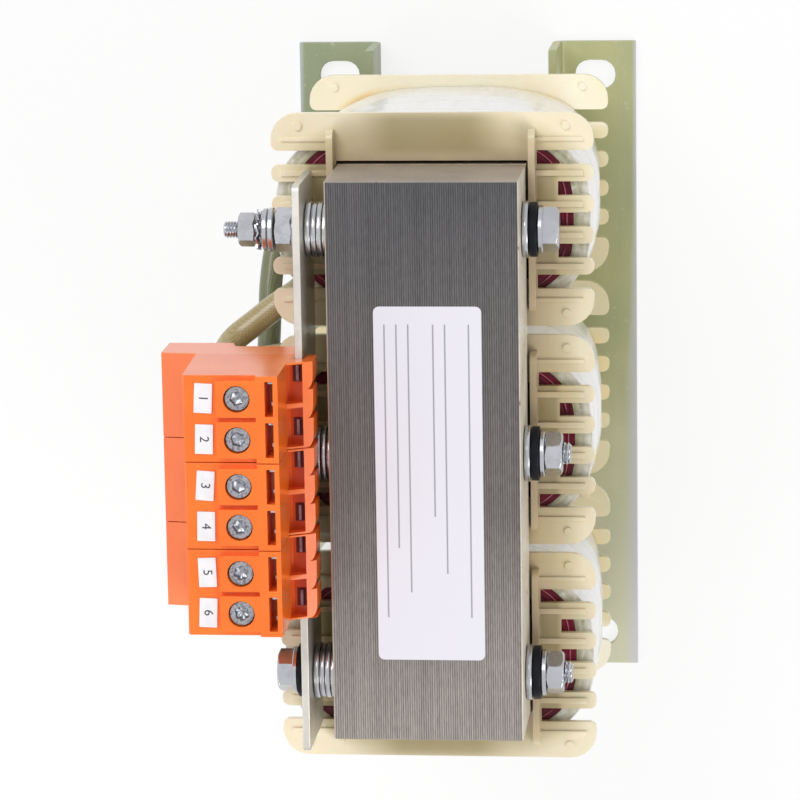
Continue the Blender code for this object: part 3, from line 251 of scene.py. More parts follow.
def ringMesh(name, profile, columns=64, shape=None):
    # profile of (radius, height) carried round Z, closed on itself where it has a bore;
    # shape(theta, k, r, z) may bend row k
    theta = np.arange(columns) * 2 * math.pi / columns
    rows = []
    for k, (radius, height) in enumerate(profile):
        r, z = np.full(columns, float(radius)), np.full(columns, float(height))
        if shape:
            r, z = shape(theta, k, r, z)
        rows.append(np.stack([r * np.cos(theta), r * np.sin(theta), z], -1))
    return tidyNormals(gridMesh(name, np.stack(rows), closeRows=profile[0][0] > 0.0))


def tidyNormals(mesh):
    work = bmesh.new()
    work.from_mesh(mesh)
    bmesh.ops.remove_doubles(work, verts=work.verts, dist=madeWeld)
    bmesh.ops.recalc_face_normals(work, faces=work.faces)
    work.to_mesh(mesh)
    work.free()
    return mesh


def joined(name, meshes):
    work = bmesh.new()
    for mesh in meshes:
        work.from_mesh(mesh)
        bpy.data.meshes.remove(mesh)
    whole = bpy.data.meshes.new(name)
    work.to_mesh(whole)
    work.free()
    return whole


def addPiece(name, mesh, finish, standsFor=(), smoothAngle=35.0):
    piece = bpy.data.objects.new(name, mesh)
    bpy.context.scene.collection.objects.link(piece)
    mesh.shade_smooth()
    mesh.set_sharp_from_angle(angle=math.radians(smoothAngle))
    dress(piece, finish)
    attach(piece, "root")
    if standsFor:
        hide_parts(*standsFor)
    return piece


def softened(nodeName, finish, width, segments=2, angle=32.0, source=None, shift=0.0):
    # the node's own surface, or its twin's moved along X, with the edges rounded over
    work = bmesh.new()
    work.from_mesh(nodes[source or nodeName].data)
    bmesh.ops.translate(work, verts=work.verts, vec=(shift, 0.0, 0.0))
    bmesh.ops.remove_doubles(work, verts=work.verts, dist=nodeWeld)
    bmesh.ops.dissolve_limit(work, angle_limit=math.radians(1.0), verts=work.verts, edges=work.edges)
    mesh = bpy.data.meshes.new(nodeName + "_soft")
    work.to_mesh(mesh)
    work.free()
    piece = addPiece(nodeName + "_soft", mesh, finish, (nodeName,), angle)
    bevel = piece.modifiers.new("rounded", "BEVEL")
    bevel.width = width
    bevel.segments = segments
    bevel.limit_method = "ANGLE"
    bevel.angle_limit = math.radians(angle)
    bevel.harden_normals = True
    return piece


# camera: the photograph's long lens, a little off the upper yoke's axis
view = {
    "place": (-0.2718, 0.1170, 1.2407),
    "ahead": (0.1965, -0.0982, -0.9756),
    "up": (-0.9804, -0.0037, -0.1971),
    "lens": 172.98,
}
camera = bpy.data.objects.new("camera", bpy.data.cameras.new("camera"))
camera.data.lens = view["lens"]
camera.data.sensor_width = 36.0
camera.data.clip_end = 20.0
ahead = Vector(view["ahead"]).normalized()
side = ahead.cross(Vector(view["up"])).normalized()
upward = side.cross(ahead)
camera.matrix_world = Matrix.Translation(Vector(view["place"]) + Vector((0.0, coreY, topZ))) @ Matrix(
    (side, upward, -ahead)
).transposed().to_4x4()
bpy.context.scene.collection.objects.link(camera)
bpy.context.scene.camera = camera
bpy.context.scene.view_settings.view_transform = "Standard"

# studio: pale floor, white surroundings, broad lamps
studio = {
    "floor": 3.0,
    "floorDrop": 0.0002,
    "floorGlow": 0.82,
    "worldFill": 0.55,
    "lamps": [  # place, aim, width, power
        ((-0.9, -0.5, 1.3), (0.0, 0.0, 0.12), 0.9, 11.0),
        ((0.7, 0.9, 1.2), (0.0, 0.0, 0.12), 0.8, 9.0),
        ((0.9, -1.0, 0.9), (0.0, 0.0, 0.1), 0.7, 5.0),
    ],
}
floorFinish = Finish("studio_floor", (0.9, 0.9, 0.9), 0.9)
rays = ("Is Camera Ray", "Is Glossy Ray", "Is Transmission Ray")
cameraRay, glossyRay, clearRay = (floorFinish.node("ShaderNodeLightPath", out=kind) for kind in rays)
glow = floorFinish.node("ShaderNodeEmission", None, {"Color": (1.0, 1.0, 1.0, 1.0), "Strength": 1.0})
share = cameraRay.maths("MAXIMUM", glossyRay).maths("MAXIMUM", clearRay) * studio["floorGlow"]
mixed = floorFinish.tree.nodes.new("ShaderNodeMixShader")
floorFinish.feed(mixed.inputs[0], share)
floorFinish.tree.links.new(floorFinish.shader.outputs[0], mixed.inputs[1])
floorFinish.tree.links.new(glow.socket, mixed.inputs[2])
floorFinish.tree.links.new(mixed.outputs[0], floorFinish.tree.nodes["Material Output"].inputs["Surface"])
half = studio["floor"]
corners = np.array([(-half, -half, 0.0), (half, -half, 0.0), (half, half, 0.0), (-half, half, 0.0)])
floor = bpy.data.objects.new("floor", meshFrom("floor", corners, np.array([[0, 1, 2, 3]])))
floor.location.z = -studio["floorDrop"]
dress(floor, floorFinish)
bpy.context.scene.collection.objects.link(floor)
floor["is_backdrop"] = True

world = bpy.data.worlds.new("surroundings")
world.use_nodes = True
bpy.context.scene.world = world
sky = world.node_tree
backdrop = sky.nodes["Background"]
backdrop.inputs["Color"].default_value = (1.0, 1.0, 1.0, 1.0)
path = sky.nodes.new("ShaderNodeLightPath")
seen = [sky.nodes.new("ShaderNodeMath") for _ in range(2)]
for larger in seen:
    larger.operation = "MAXIMUM"
sky.links.new(path.outputs[rays[0]], seen[0].inputs[0])
sky.links.new(path.outputs[rays[1]], seen[0].inputs[1])
sky.links.new(seen[0].outputs[0], seen[1].inputs[0])
sky.links.new(path.outputs[rays[2]], seen[1].inputs[1])
strength = sky.nodes.new("ShaderNodeMapRange")
strength.inputs["To Min"].default_value = studio["worldFill"]
strength.inputs["To Max"].default_value = 1.0
sky.links.new(seen[1].outputs[0], strength.inputs["Value"])
sky.links.new(strength.outputs[0], backdrop.inputs["Strength"])
for k, (place, aim, width, power) in enumerate(studio["lamps"]):
    lamp = bpy.data.lights.new(f"lamp_{k}", "AREA")
    lamp.size = width
    lamp.energy = power
    holder = bpy.data.objects.new(f"lamp_{k}", lamp)
    holder.location = place
    holder.rotation_euler = (Vector(place) - Vector(aim)).to_track_quat("Z", "Y").to_euler()
    bpy.context.scene.collection.objects.link(holder)
print("camera, floor and lamps stand")

# laminations: sheet edges run along X on the top and upright on the ends
sheets = {
    "pitch": 0.00076,
    # dark, middle and pale are the stops of a painted reflection along the top, darker at -X
    "dark": (0.080, 0.079, 0.086),
    "middle": (0.145, 0.132, 0.128),
    "pale": (0.31, 0.282, 0.258),
    "end": ((0.37, 0.315, 0.26), (0.29, 0.25, 0.21)),
    # painted light: the sides' flat is far paler than the ends, for the light that face catches
    "side": ((0.70, 0.64, 0.54), (0.52, 0.47, 0.38)),
    "rust": (0.20, 0.12, 0.07),
    "board": ((0.42, 0.34, 0.2), (0.56, 0.48, 0.3)),
    "round": 0.0006,
}


def makeLaminations():
    steel = Finish("laminations", sheets["dark"], 0.5, 0.35)
    offset = steel.axis("Y") - coreY
    rows = offset / sheets["pitch"]
    sheet = steel.node("ShaderNodeTexWhiteNoise", {"noise_dimensions": "1D"}, {"W": rows.maths("FLOOR")})
    cut = (rows.maths("PINGPONG", 0.5) * 2.0).between(0.15, 0.85)
    along = steel.axis("X")
    drift = steel.noise(16.0, 3.0)
    fleck = steel.noise(1500.0, 2.0, (0.2, 1.0, 0.2))
    # painted reflection: the top runs from dark at its -X end to pale at its +X end, standing in for the
    # light the sheets reflect
    slope = (along + 0.1) / 0.2 + (drift - 0.5) * 0.5
    top = steel.ramp(slope, (0.0, sheets["dark"]), (0.55, sheets["middle"]), (1.0, sheets["pale"]))
    lines = cut * 0.6 + sheet * 0.2 + fleck * 0.6 + 0.2
    grey = steel.node("ShaderNodeCombineXYZ", None, {0: lines, 1: lines, 2: lines})
    top = steel.mix(1.0, top, grey, "MULTIPLY")
    smear = steel.noise(45.0, 4.0)
    spots = steel.noise(210.0, 5.0).between(0.66, 0.7)
    ends = (along.size() - yokeHigh.x).between(-0.0008, -0.0001)  # end faces, smooth with varnish
    sides = (offset.size() - (yokeHigh.y - coreY)).between(-0.0005, -0.0002)  # flat of the outer sheets
    end = steel.mix(smear.between(0.35, 0.75), *sheets["end"])
    # painted light: the outer sheets' flat in pale beige, for the light falling on it
    side = steel.mix(smear.between(0.3, 0.8), *sheets["side"])
    flat = steel.mix(sides, end, side)
    flat = steel.mix(spots * 0.8, flat, sheets["rust"])
    plain = ends.maths("MAXIMUM", sides)
    steel.set("Base Color", steel.mix(plain, top, flat))
    steel.set("Roughness", fleck * 0.2 + 0.34)
    steel.set("Metallic", 0.5 - plain * 0.3)
    steel.set("Normal", steel.bump((cut + fleck * 0.6) * (1.0 - plain), 0.00005, 0.5))
    return steel


steel = makeLaminations()
for name in ("lower_core", "upper_yoke"):
    softened(name, steel, sheets["round"])
board = Finish("spacer_board", (0.50, 0.42, 0.26), 0.7)
board.set("Base Color", board.mix(board.noise(300.0).between(0.3, 0.7), *sheets["board"]))
for k in (1, 2, 3):
    dress(nodes[f"gap_sheet_{k}"], board)
print("core dressed")

# bobbins: cream nylon that lets light through, with painted shade in khaki beside the core, between ribs
# and over the coil, and painted light at the corners and on the terminal side
bobbinLook = {
    # painted shade: the nylon darkens towards the core and lightens away from it
    "shade": (
        (0.0, (0.43, 0.335, 0.22)),
        (0.3, (0.56, 0.455, 0.285)),
        (0.5, (0.59, 0.49, 0.30)),
        (0.72, (0.67, 0.59, 0.385)),
        (1.0, (0.87, 0.785, 0.58)),
    ),
    "sideReach": 0.0226,  # from the core to the flange's edge
    "endReach": 0.0195,
    "webReach": 0.0106,  # from the core to the roots of the open gaps
    # painted shade colours for the low webs and the strips over the coil
    "webShade": (0.26, 0.215, 0.09),
    "overCoilShade": (0.34, 0.275, 0.115),
    "collar": 0.0058,
    "amber": (0.86, 0.62, 0.22),
    "low": (0.90, 0.83, 0.62),
    "lowPale": (0.90, 0.86, 0.74),
    # olive: partly varnish, partly painted shade on the lower flanges
    "olive": (0.74, 0.66, 0.40),
    "soft": {"Subsurface_Weight": 0.12, "Subsurface_Scale": 0.0025},
    "round": 0.00055,
}


def makeNylon():
    nylon = Finish("bobbin_nylon", bobbinLook["low"], 0.25, **bobbinLook["soft"])
    x, y, z = (nylon.axis(letter) for letter in "XYZ")
    cloud = nylon.noise(34.0, 3.0)
    patches = nylon.noise(42.0, 2.0).between(0.5, 0.85)
    beyondEnd = x.size() - yokeHigh.x
    beyondSide = (y - coreY).size() - (yokeHigh.y - coreY)
    outward = beyondSide.maths("MAXIMUM", 0.0) / bobbinLook["sideReach"]
    endward = beyondEnd.maths("MAXIMUM", 0.0) / bobbinLook["endReach"]
    away = (outward * outward + endward * endward).maths("SQRT")
    fromMiddle = x.maths("WRAP", coilPitch / 2, -coilPitch / 2).size()
    # painted light: the flange corners and the terminal side are lifted paler
    corner = fromMiddle.between(0.02, 0.031)
    terminalSideShading = 1.0 - (y - coreY).between(-0.01, 0.01)
    away = away + (corner * 0.2 + terminalSideShading * 0.16) * beyondSide.between(-0.012, 0.008)
    upper = nylon.ramp(away + (cloud - 0.5) * 0.2, *bobbinLook["shade"])
    upper = nylon.mix(patches * 0.3, upper, bobbinLook["amber"])
    # painted shade: the end strips over the coil are darkened
    endShadeStrip = 1.0 - beyondSide.between(-0.02, -0.006)
    endShadeStrip = endShadeStrip * away.between(0.1, 0.3) * (1.0 - away.between(0.74, 1.0))
    upper = nylon.mix(endShadeStrip * (cloud * 0.5 + 0.45), upper, bobbinLook["overCoilShade"])
    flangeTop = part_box("bobbin_2")[1].z - bobbinLook["collar"]
    raised = z.between(flangeTop + 0.0003, flangeTop + 0.0005)
    # painted shade: the low webs between the raised ribs are darkened
    webShade = beyondSide.between(0.003, 0.0036) * (1.0 - raised) * (1.0 - fromMiddle.between(0.021, 0.025))
    webShade = webShade * (1.0 - (beyondSide - bobbinLook["webReach"]).between(-0.002, 0.001))
    upper = nylon.mix(webShade * 0.66, upper, bobbinLook["webShade"])
    lower = nylon.mix(cloud.between(0.3, 0.7), bobbinLook["low"], bobbinLook["lowPale"])
    # olive within the yoke's length: partly varnish, partly painted shade where the yoke and coils shade
    # the lower flanges
    lower = nylon.mix((1.0 - beyondEnd.between(-0.004, 0.002)) * 0.85, lower, bobbinLook["olive"])
    nearWrap = (nylon.ring(wrapHalf, 2.5) - 1.0).between(0.0, 0.16)
    stain = (1.0 - nearWrap) * nylon.noise(17.0, 2.0).between(0.5, 0.62)
    stain = stain * (beyondEnd.between(-0.02, -0.006) * 0.7 + 0.3)
    lower = nylon.mix(stain * 0.8, lower, bobbinLook["amber"])
    nylon.set("Base Color", nylon.mix(z.between(0.09, 0.12), lower, upper))
    nylon.set("Roughness", cloud * 0.12 + 0.12)
    nylon.set("Normal", nylon.bump(nylon.noise(900.0, 2.0), 0.00004, 0.4))
    return nylon


nylon = makeNylon()
for k in (1, 2, 3):  # the three are one moulding, so the middle one's surface is set at each coil
    place = (k - 2) * coilPitch
    softened(f"bobbin_{k}", nylon, bobbinLook["round"], source="bobbin_2", shift=place)
print("bobbins dressed")

# coils: dark red wire, grey-olive fibre sheet, white tape
coilLook = {
    "tape": 0.021,  # height between two tape edges
    "columns": 180,
    "rows": 110,
    "power": 2.85,  # how square the outline is
    "shares": (0.0, 0.25, 0.55, 0.8, 1.0),  # from the lower end to the upper
    "halfX": (0.0322, 0.0332, 0.0340, 0.0340, 0.0332),
    "halfY": (0.0508, 0.0527, 0.0542, 0.0543, 0.0536),
    "lap": 0.0004,
    "tilt": 0.03,  # how far a tape edge climbs for each metre along Y
    "wall": 0.0005,
    "ripple": (0.00012, 0.00008),
    "frayed": 0.00015,  # how far the upper rim dips
}
copperLook = {
    "wire": 0.0017,
    "power": 3.0,
    "red": (0.115, 0.004, 0.019),
    "cloud": ((0.085, 0.003, 0.013), (0.17, 0.007, 0.028)),
    # glint is a painted highlight colour
    "glint": (0.62, 0.24, 0.28),
}


def makeCopper():
    copper = Finish("enamelled_copper", copperLook["red"], 0.3, Specular_IOR_Level=0.2)
    cloud = copper.noise(90.0, 3.0)
    base = copper.mix(cloud.between(0.35, 0.7), *copperLook["cloud"])
    turns = copper.ring(copperHalf, copperLook["power"])
    # painted highlight: a pale pink line along the outer turns, for the gloss on the wire
    glint = (turns - 0.87).line(0.012) * cloud.between(0.3, 0.5)
    copper.set("Base Color", copper.mix(glint, base, copperLook["glint"]))
    layers = (turns * 11.0).maths("PINGPONG", 0.5)
    layers = layers + (copper.axis("Z") / copperLook["wire"]).maths("PINGPONG", 0.5)
    copper.set("Roughness", cloud * 0.15 + 0.2)
    copper.set("Normal", copper.bump(layers, 0.0003, 0.5))
    return copper


fibreLook = {
    "paper": ((0.36, 0.355, 0.22), (0.54, 0.52, 0.36)),
    "strand": (0.30, 0.30, 0.22),
    "blot": (0.80, 0.80, 0.76),
    "rim": (0.80, 0.79, 0.73),
    "rows": 10,
    "fuzz": 0.00012,
}


def makeFibre():
    fibre = Finish("insulation_paper", (0.42, 0.41, 0.27), 0.45)
    rings = fibre.ring(wrapHalf, coilLook["power"])
    layers = fibre.node("ShaderNodeTexNoise", {"noise_dimensions": "1D"}, {"W": rings, "Scale": 17.0})
    strands = fibre.noise(900.0, 4.0, (1.0, 1.0, 0.2))
    blots = fibre.noise(210.0, 4.0)
    base = fibre.mix(layers.between(0.35, 0.62), *fibreLook["paper"])
    base = fibre.mix(strands.between(0.35, 0.65) * 0.4, base, fibreLook["strand"])
    base = fibre.mix(blots.between(0.52, 0.66) * 0.6, base, fibreLook["blot"])
    pale = rings.between(0.72, 0.97) * blots.between(0.3, 0.5)
    fibre.set("Base Color", fibre.mix(pale * 0.75, base, fibreLook["rim"]))
    fibre.set("Normal", fibre.bump(strands + layers + blots, 0.0002, 0.7))
    return fibre


tapeLook = {
    "weave": 0.0012,
    "glass": ((0.81, 0.80, 0.785), (0.76, 0.68, 0.48)),
    "resin": (0.66, 0.64, 0.60),
    "edge": (0.47, 0.44, 0.385),
    "low": (0.85, 0.66, 0.28),
}


def makeWrap():
    tape = Finish("glass_tape", (0.88, 0.87, 0.86), 0.2)
    stain = tape.noise(30.0, 3.0)
    z = tape.axis("Z")
    turn = (z + stain * 0.001 + tape.axis("Y") * coilLook["tilt"]) / coilLook["tape"]
    ragged = tape.noise(260.0, 3.0, (1.0, 1.0, 3.0))
    edge = (turn.maths("PINGPONG", 0.5) + ragged * 0.02 - 0.012).line(0.034)
    low = 1.0 - z.between(0.045, 0.058)
    runs = tape.noise(120.0, 4.0, (1.0, 1.0, 0.15))
    base = tape.mix(stain.between(0.45, 0.8) * 0.3, *tapeLook["glass"])
    base = tape.mix(runs.between(0.5, 0.72) * 0.5, base, tapeLook["resin"])
    base = tape.mix(edge * 0.75, base, tapeLook["edge"])
    base = tape.mix(low * stain.between(0.4, 0.65), base, tapeLook["low"])
    tape.set("Base Color", base)
    cross = (tape.axis("X") + tape.axis("Y")) / tapeLook["weave"]
    weave = cross.maths("PINGPONG", 0.5) * (z / tapeLook["weave"]).maths("PINGPONG", 0.5)
    tape.set("Normal", tape.bump(runs, 0.0004, 0.6, tape.bump(weave, 0.00012, 0.5)))
    tape.set("Coat Weight", runs * 0.7)
    tape.set("Roughness", stain * 0.2 + 0.13)
    return tape


def coilOutline(halfX, halfY, power, columns):
    # x = a |cos t|^(2/n), y = b |sin t|^(2/n), each with the sign of its own cosine or sine
    t = np.arange(columns) * 2 * math.pi / columns
    c, s = np.cos(t), np.sin(t)
    x = halfX * np.sign(c) * np.abs(c) ** (2 / power)
    y = halfY * np.sign(s) * np.abs(s) ** (2 / power)
    return np.stack([x, y], -1)


def wrapMesh(k):
    # barrel whose half widths follow the height, with a tape lap that grows by the turn and drops at
    # its edge, then a rim and a plain inner wall back to the lower end
    look, columns, rows = coilLook, coilLook["columns"], coilLook["rows"]
    share = np.linspace(0.0, 1.0, rows)
    smooth = np.convolve(np.pad(share, 3, "edge"), np.ones(7) / 7, "valid")
    unit = coilOutline(1.0, 1.0, look["power"], columns)
    t = np.arange(columns) * 2 * math.pi / columns
    level = wrapLow.z + share * (wrapHigh.z - wrapLow.z)
    sideways = coreY + unit[None, :, 1] * look["halfY"][2]
    turn = (level[:, None] + sideways * look["tilt"]) / look["tape"]
    around, up = t[None, :], share[:, None]
    broad, fine = look["ripple"]
    ripple = broad * np.sin(5 * around + k + 9 * up) + fine * np.sin(11 * around - 14 * up)
    out = look["lap"] * (0.4 - np.mod(turn, 1.0)) + ripple
    halves = np.stack([np.interp(smooth, look["shares"], look[name]) for name in ("halfX", "halfY")], -1)
    outer = unit[None] * (halves[:, None, :] + out[:, :, None])
    height = level[:, None] + 0 * t[None, :]
    height[-1] -= 0.0001 + look["frayed"] * (1 + np.sin(7 * t + 2 * k)) / 2
    inner = unit[None] * (halves[:, None, :] - look["wall"])
    points = np.concatenate([
        np.concatenate([outer, height[:, :, None]], -1),
        np.concatenate([inner, height[:, :, None]], -1)[::-1],
    ])
    points[:, :, 0] += (k - 2) * coilPitch
    points[:, :, 1] += coreY
    return tidyNormals(gridMesh(f"outer_wrap_{k}_made", points, closeRows=True))


def fibreMesh(k):
    # flat ring between the wire and the tape, its upper face raised and sunk a little by crossed sines
    look, columns = coilLook, coilLook["columns"]
    inside = coilOutline(copperHalf[0] + 0.0001, copperHalf[1] + 0.0001, copperLook["power"], columns)
    walls = [(look["halfX"][end] - look["wall"], look["halfY"][end] - look["wall"]) for end in (-1, 0)]
    outside, below = (coilOutline(*halves, look["power"], columns) for halves in walls)
    share = np.linspace(0.0, 1.0, fibreLook["rows"])[:, None, None]
    flat = inside[None] * (1 - share) + outside[None] * share
    t = np.arange(columns)[None, :] * 2 * math.pi / columns
    fuzz = np.sin(31 * t + 40 * share[:, :, 0]) * np.sin(13 * t - 25 * share[:, :, 0] + k)
    upper = np.concatenate([flat, (wrapHigh.z - 0.00025 + fibreLook["fuzz"] * fuzz)[:, :, None]], -1)
    foot = np.full((columns, 1), wrapLow.z + 0.0001)
    lower = [np.concatenate([edge, foot], -1)[None] for edge in (below, inside)]
    points = np.concatenate([upper, *lower])
    points[:, :, 0] += (k - 2) * coilPitch
    points[:, :, 1] += coreY
    return tidyNormals(gridMesh(f"insulation_{k}_made", points, closeRows=True))


copper, fibre, tape = makeCopper(), makeFibre(), makeWrap()
for k in (1, 2, 3):
    dress(nodes[f"winding_{k}"], copper)
    addPiece(f"insulation_{k}_made", fibreMesh(k), fibre, (f"insulation_{k}",))
    addPiece(f"outer_wrap_{k}_made", wrapMesh(k), tape, (f"outer_wrap_{k}",), 60.0)
print("coils dressed")


# zinc: bright plate with a faint brushed grain and grey bloom
zincLook = {
    "plate": (0.66, 0.64, 0.585),
    "fastener": (0.54, 0.55, 0.585),
    "screw": (0.42, 0.43, 0.47),
    "round": 0.0004,
}


def makeZinc(name, colour, roughness, grain, dull=0.55, metal=0.92, blots=420.0):
    zinc = Finish(name, colour, roughness, metal)
    cloud = zinc.noise(55.0, 3.0)
    mottle = zinc.noise(blots, 4.0)
    brushed = zinc.noise(1400.0, 2.0, grain)
    base = zinc.mix(cloud.between(0.35, 0.7), colour, tuple(0.8 * c for c in colour))
    zinc.set("Base Color", zinc.mix(mottle.between(0.45, 0.68), base, tuple(dull * c for c in colour)))
    zinc.set("Roughness", cloud * 0.2 + brushed * 0.12 + (roughness - 0.15))
    zinc.set("Normal", zinc.bump(brushed, 0.00003, 0.5))
    return zinc


plateZinc = makeZinc("zinc_plate", zincLook["plate"], 0.36, (0.03, 1.0, 1.0), 0.9, 0.6)
boltZinc = makeZinc("zinc_fastener", zincLook["fastener"], 0.2, (1.0, 1.0, 1.0), 0.82, 0.95, 260.0)
softened("terminal_plate", plateZinc, zincLook["round"])

# chromate: olive-green passivation with yellow streaks, and a painted silver highlight towards the long cut
# edges
footLook = {
    "olive": (
        (0.3, (0.33, 0.375, 0.21)),
        (0.48, (0.42, 0.44, 0.235)),
        (0.62, (0.50, 0.475, 0.25)),
        (0.8, (0.56, 0.51, 0.35)),
    ),
    # painted shade colour for the terminal side, under the blocks
    "terminalSideShading": (0.26, 0.31, 0.215),
    "pale": (0.70, 0.685, 0.56),
    "speck": (0.60, 0.61, 0.50),
    # painted highlight colour along the long edges
    "edgeHighlight": (0.56, 0.57, 0.62),
    "outer": 0.0632,  # from the core's middle to the long edges
    "round": 0.0003,
}


def makeChromate():
    chromate = Finish("yellow_chromate", (0.36, 0.36, 0.17), 0.38, 0.3)
    streaks = chromate.noise(60.0, 4.0, (0.12, 1.0, 1.0))
    drift = chromate.noise(17.0, 3.0)
    tint = chromate.ramp(drift * 0.55 + streaks * 0.45, *footLook["olive"])
    offset = chromate.axis("Y") - coreY
    along = chromate.axis("X") + (drift - 0.5) * 0.08
    # painted shade: the terminal side is darkened towards green, for the shadow of the blocks and plate
    terminalSideShading = 1.0 - offset.between(-0.01, 0.01)
    tint = chromate.mix(terminalSideShading * 0.7, tint, footLook["terminalSideShading"])
    tint = chromate.mix(along.between(-0.02, 0.09) * 0.6, tint, footLook["pale"])
    specks = chromate.noise(520.0, 2.0).between(0.64, 0.74)
    tint = chromate.mix(specks * 0.35, tint, footLook["speck"])
    # painted highlight: a silver band along the long edges, wider towards +X
    wide = along.between(-0.06, 0.04) * 0.004 + 0.0022
    rim = (offset.size() - footLook["outer"] + wide + (streaks - 0.5) * 0.002) / wide
    chromate.set("Base Color", chromate.mix(rim.between(0.0, 1.0) * 0.8, tint, footLook["edgeHighlight"]))
    chromate.set("Roughness", streaks * 0.3 + 0.24)
    chromate.set("Normal", chromate.bump(chromate.noise(800.0, 2.0, (0.1, 1.0, 1.0)), 0.00004, 0.5))
    return chromate


chromate = makeChromate()
for name in ("foot_front", "foot_rear"):
    softened(name, chromate, footLook["round"])
print("plate and feet dressed")

# orange housings: the low ledge painted paler as painted light, and deep red painted inside the pockets and
# slots as painted shade
housing = {
    "top": (0.95, 0.185, 0.014),
    "cloud": (0.88, 0.155, 0.011),
    "ledge": (0.93, 0.25, 0.10),
    # deep is a painted shade colour for the pockets
    "deep": (0.50, 0.022, 0.003),
    "ledgeTop": 0.1883,
    "soft": {"Subsurface_Weight": 0.06, "Subsurface_Scale": 0.002},
    "round": 0.0003,
}


def makeOrange():
    orange = Finish("orange_polyamide", housing["top"], 0.25, **housing["soft"])
    cloud = orange.noise(50.0, 2.0)
    y, z = orange.axis("Y"), orange.axis("Z")
    base = orange.mix(cloud.between(0.3, 0.7), housing["top"], housing["cloud"])
    # painted light: the low ledge is painted paler, for the light it catches from the -X side
    onLedge = 1.0 - (z - housing["ledgeTop"]).between(0.0, 0.0004)
    base = orange.mix(onLedge * 0.8, base, housing["ledge"])
    # painted shade: deep red inside the pockets
    behindTower = y - (plateLow.y - 0.0016)
    pocketShade = behindTower.between(0.0, 0.0002) * (1.0 - behindTower.between(0.0052, 0.0056))
    pocketShade = pocketShade * (1.0 - (z - topZ).between(0.0022, 0.0052))
    orange.set("Base Color", orange.mix(pocketShade * 0.4, base, housing["deep"]))
    orange.set("Roughness", cloud * 0.1 + 0.13)
    orange.set("Normal", orange.bump(orange.noise(1600.0, 2.0), 0.00003, 0.5))
    return orange


orange = makeOrange()
for k in (1, 2, 3):
    softened(f"terminal_block_{k}", orange, housing["round"])
black = Finish("black_insulator", (0.010, 0.011, 0.015), 0.4, Specular_IOR_Level=0.1)
black.set("Roughness", black.noise(400.0) * 0.25 + 0.28)
print("blocks dressed")

# bolts and nuts: hexagons with turned corners, M8 and M6 threads
thread = {
    "columns": 36,
    "rowsPerTurn": 8,
    "bolt": (0.0039, 0.00125),  # radius, pitch
    "stud": (0.0029, 0.001),
    "depth": 0.62,  # share of the pitch
    "cut": 0.95,  # share of the depth
    "runout": 0.7,  # turns that fade at the end
    "tip": 0.72,  # share of the radius
    "cone": 1.1,  # radius gained for each metre from the tip
}
hexagon = {
    "flats": 0.013,
    "columns": 72,
    "head": 0.0053,
    "washer": 0.008,
    "washerThick": 0.0015,
    "corner": 0.955,  # the flat top's rim, as a share of half the flats
    "drop": 0.00085,  # how far the corners are turned down
    "slope": 1.75,
    "shank": 0.0038,
    "threaded": 0.009,
    "bore": 0.0041,
}


def hexRadius(theta, flats):
    # r = (flats / 2) / cos of the angle to the nearest flat
    return flats / 2 / np.cos(np.mod(theta, math.pi / 3) - math.pi / 6)


def hexShell(name, flats, low, high, bore, bothEnds):
    # every row keeps r = min(hexagon, limit), so the cone of limits turns the corners into arcs
    theta = np.arange(hexagon["columns"]) * 2 * math.pi / hexagon["columns"]
    edge = flats / 2 * hexagon["corner"]
    drops = np.linspace(0.0, hexagon["drop"], 6) * flats / hexagon["flats"]
    limits = edge + drops * hexagon["slope"]
    rows = [(bore, high)]
    rows += [(limit, high - drop) for limit, drop in zip(limits, drops)]
    if bothEnds:
        rows += [(limit, low + drop) for limit, drop in zip(limits[::-1], drops[::-1])]
    else:
        rows.append((1.0, low))
    rows.append((bore, low))
    limit = np.array([r for r, _ in rows])[:, None]
    radius = np.minimum(hexRadius(theta, flats)[None, :], limit)
    height = np.repeat(np.array([z for _, z in rows])[:, None], len(theta), 1)
    grid = np.stack([radius * np.cos(theta), radius * np.sin(theta), height], -1)
    return tidyNormals(gridMesh(name, grid, closeRows=bore > 0.0))


def washerFace(low, bore):
    rim, top = hexagon["washer"], low + hexagon["washerThick"]
    profile = [(bore, low), (rim - 0.0002, low), (rim, low + 0.0002)]
    return ringMesh("washer", profile + [(rim, top - 0.0003), (rim - 0.0003, top), (bore, top)], 48)


def threadShell(name, low, high):
    # r = radius - depth * triangle(z / pitch - theta / 2 pi), faded to the root at the end;
    # low and high are depths below the head's outer face
    radius, pitch = thread[name]
    rows = max(8, int((high - low) / pitch * thread["rowsPerTurn"]))
    z = np.linspace(low, high, rows)[:, None]
    theta = (np.arange(thread["columns"]) * 2 * math.pi / thread["columns"])[None, :]
    turn = z / pitch - theta / (2 * math.pi)
    wave = np.abs(np.mod(turn, 1.0) - 0.5) * 2
    depth = thread["depth"] * pitch
    runout = np.clip((high - z) / (thread["runout"] * pitch), 0.0, 1.0)
    r = radius - depth * (1 - wave) * thread["cut"]
    r = np.minimum(r, radius - depth * (1 - runout))
    r = np.minimum(r, radius * thread["tip"] + (high - z) * thread["cone"])
    grid = np.stack([r * np.cos(theta), r * np.sin(theta), -z + 0 * theta], -1)
    return tidyNormals(gridMesh(name, grid, caps=True))


def stand(mesh, nodeName, outward, start):
    # local +Z turns to -Y (outward -1) or +Y (outward +1), on the node's own axis
    low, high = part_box(nodeName)
    turn = Matrix.Rotation(math.radians(-90.0 * outward), 4, "X")
    mesh.transform(Matrix.Translation(((low.x + high.x) / 2, start, (low.z + high.z) / 2)) @ turn)
    return mesh


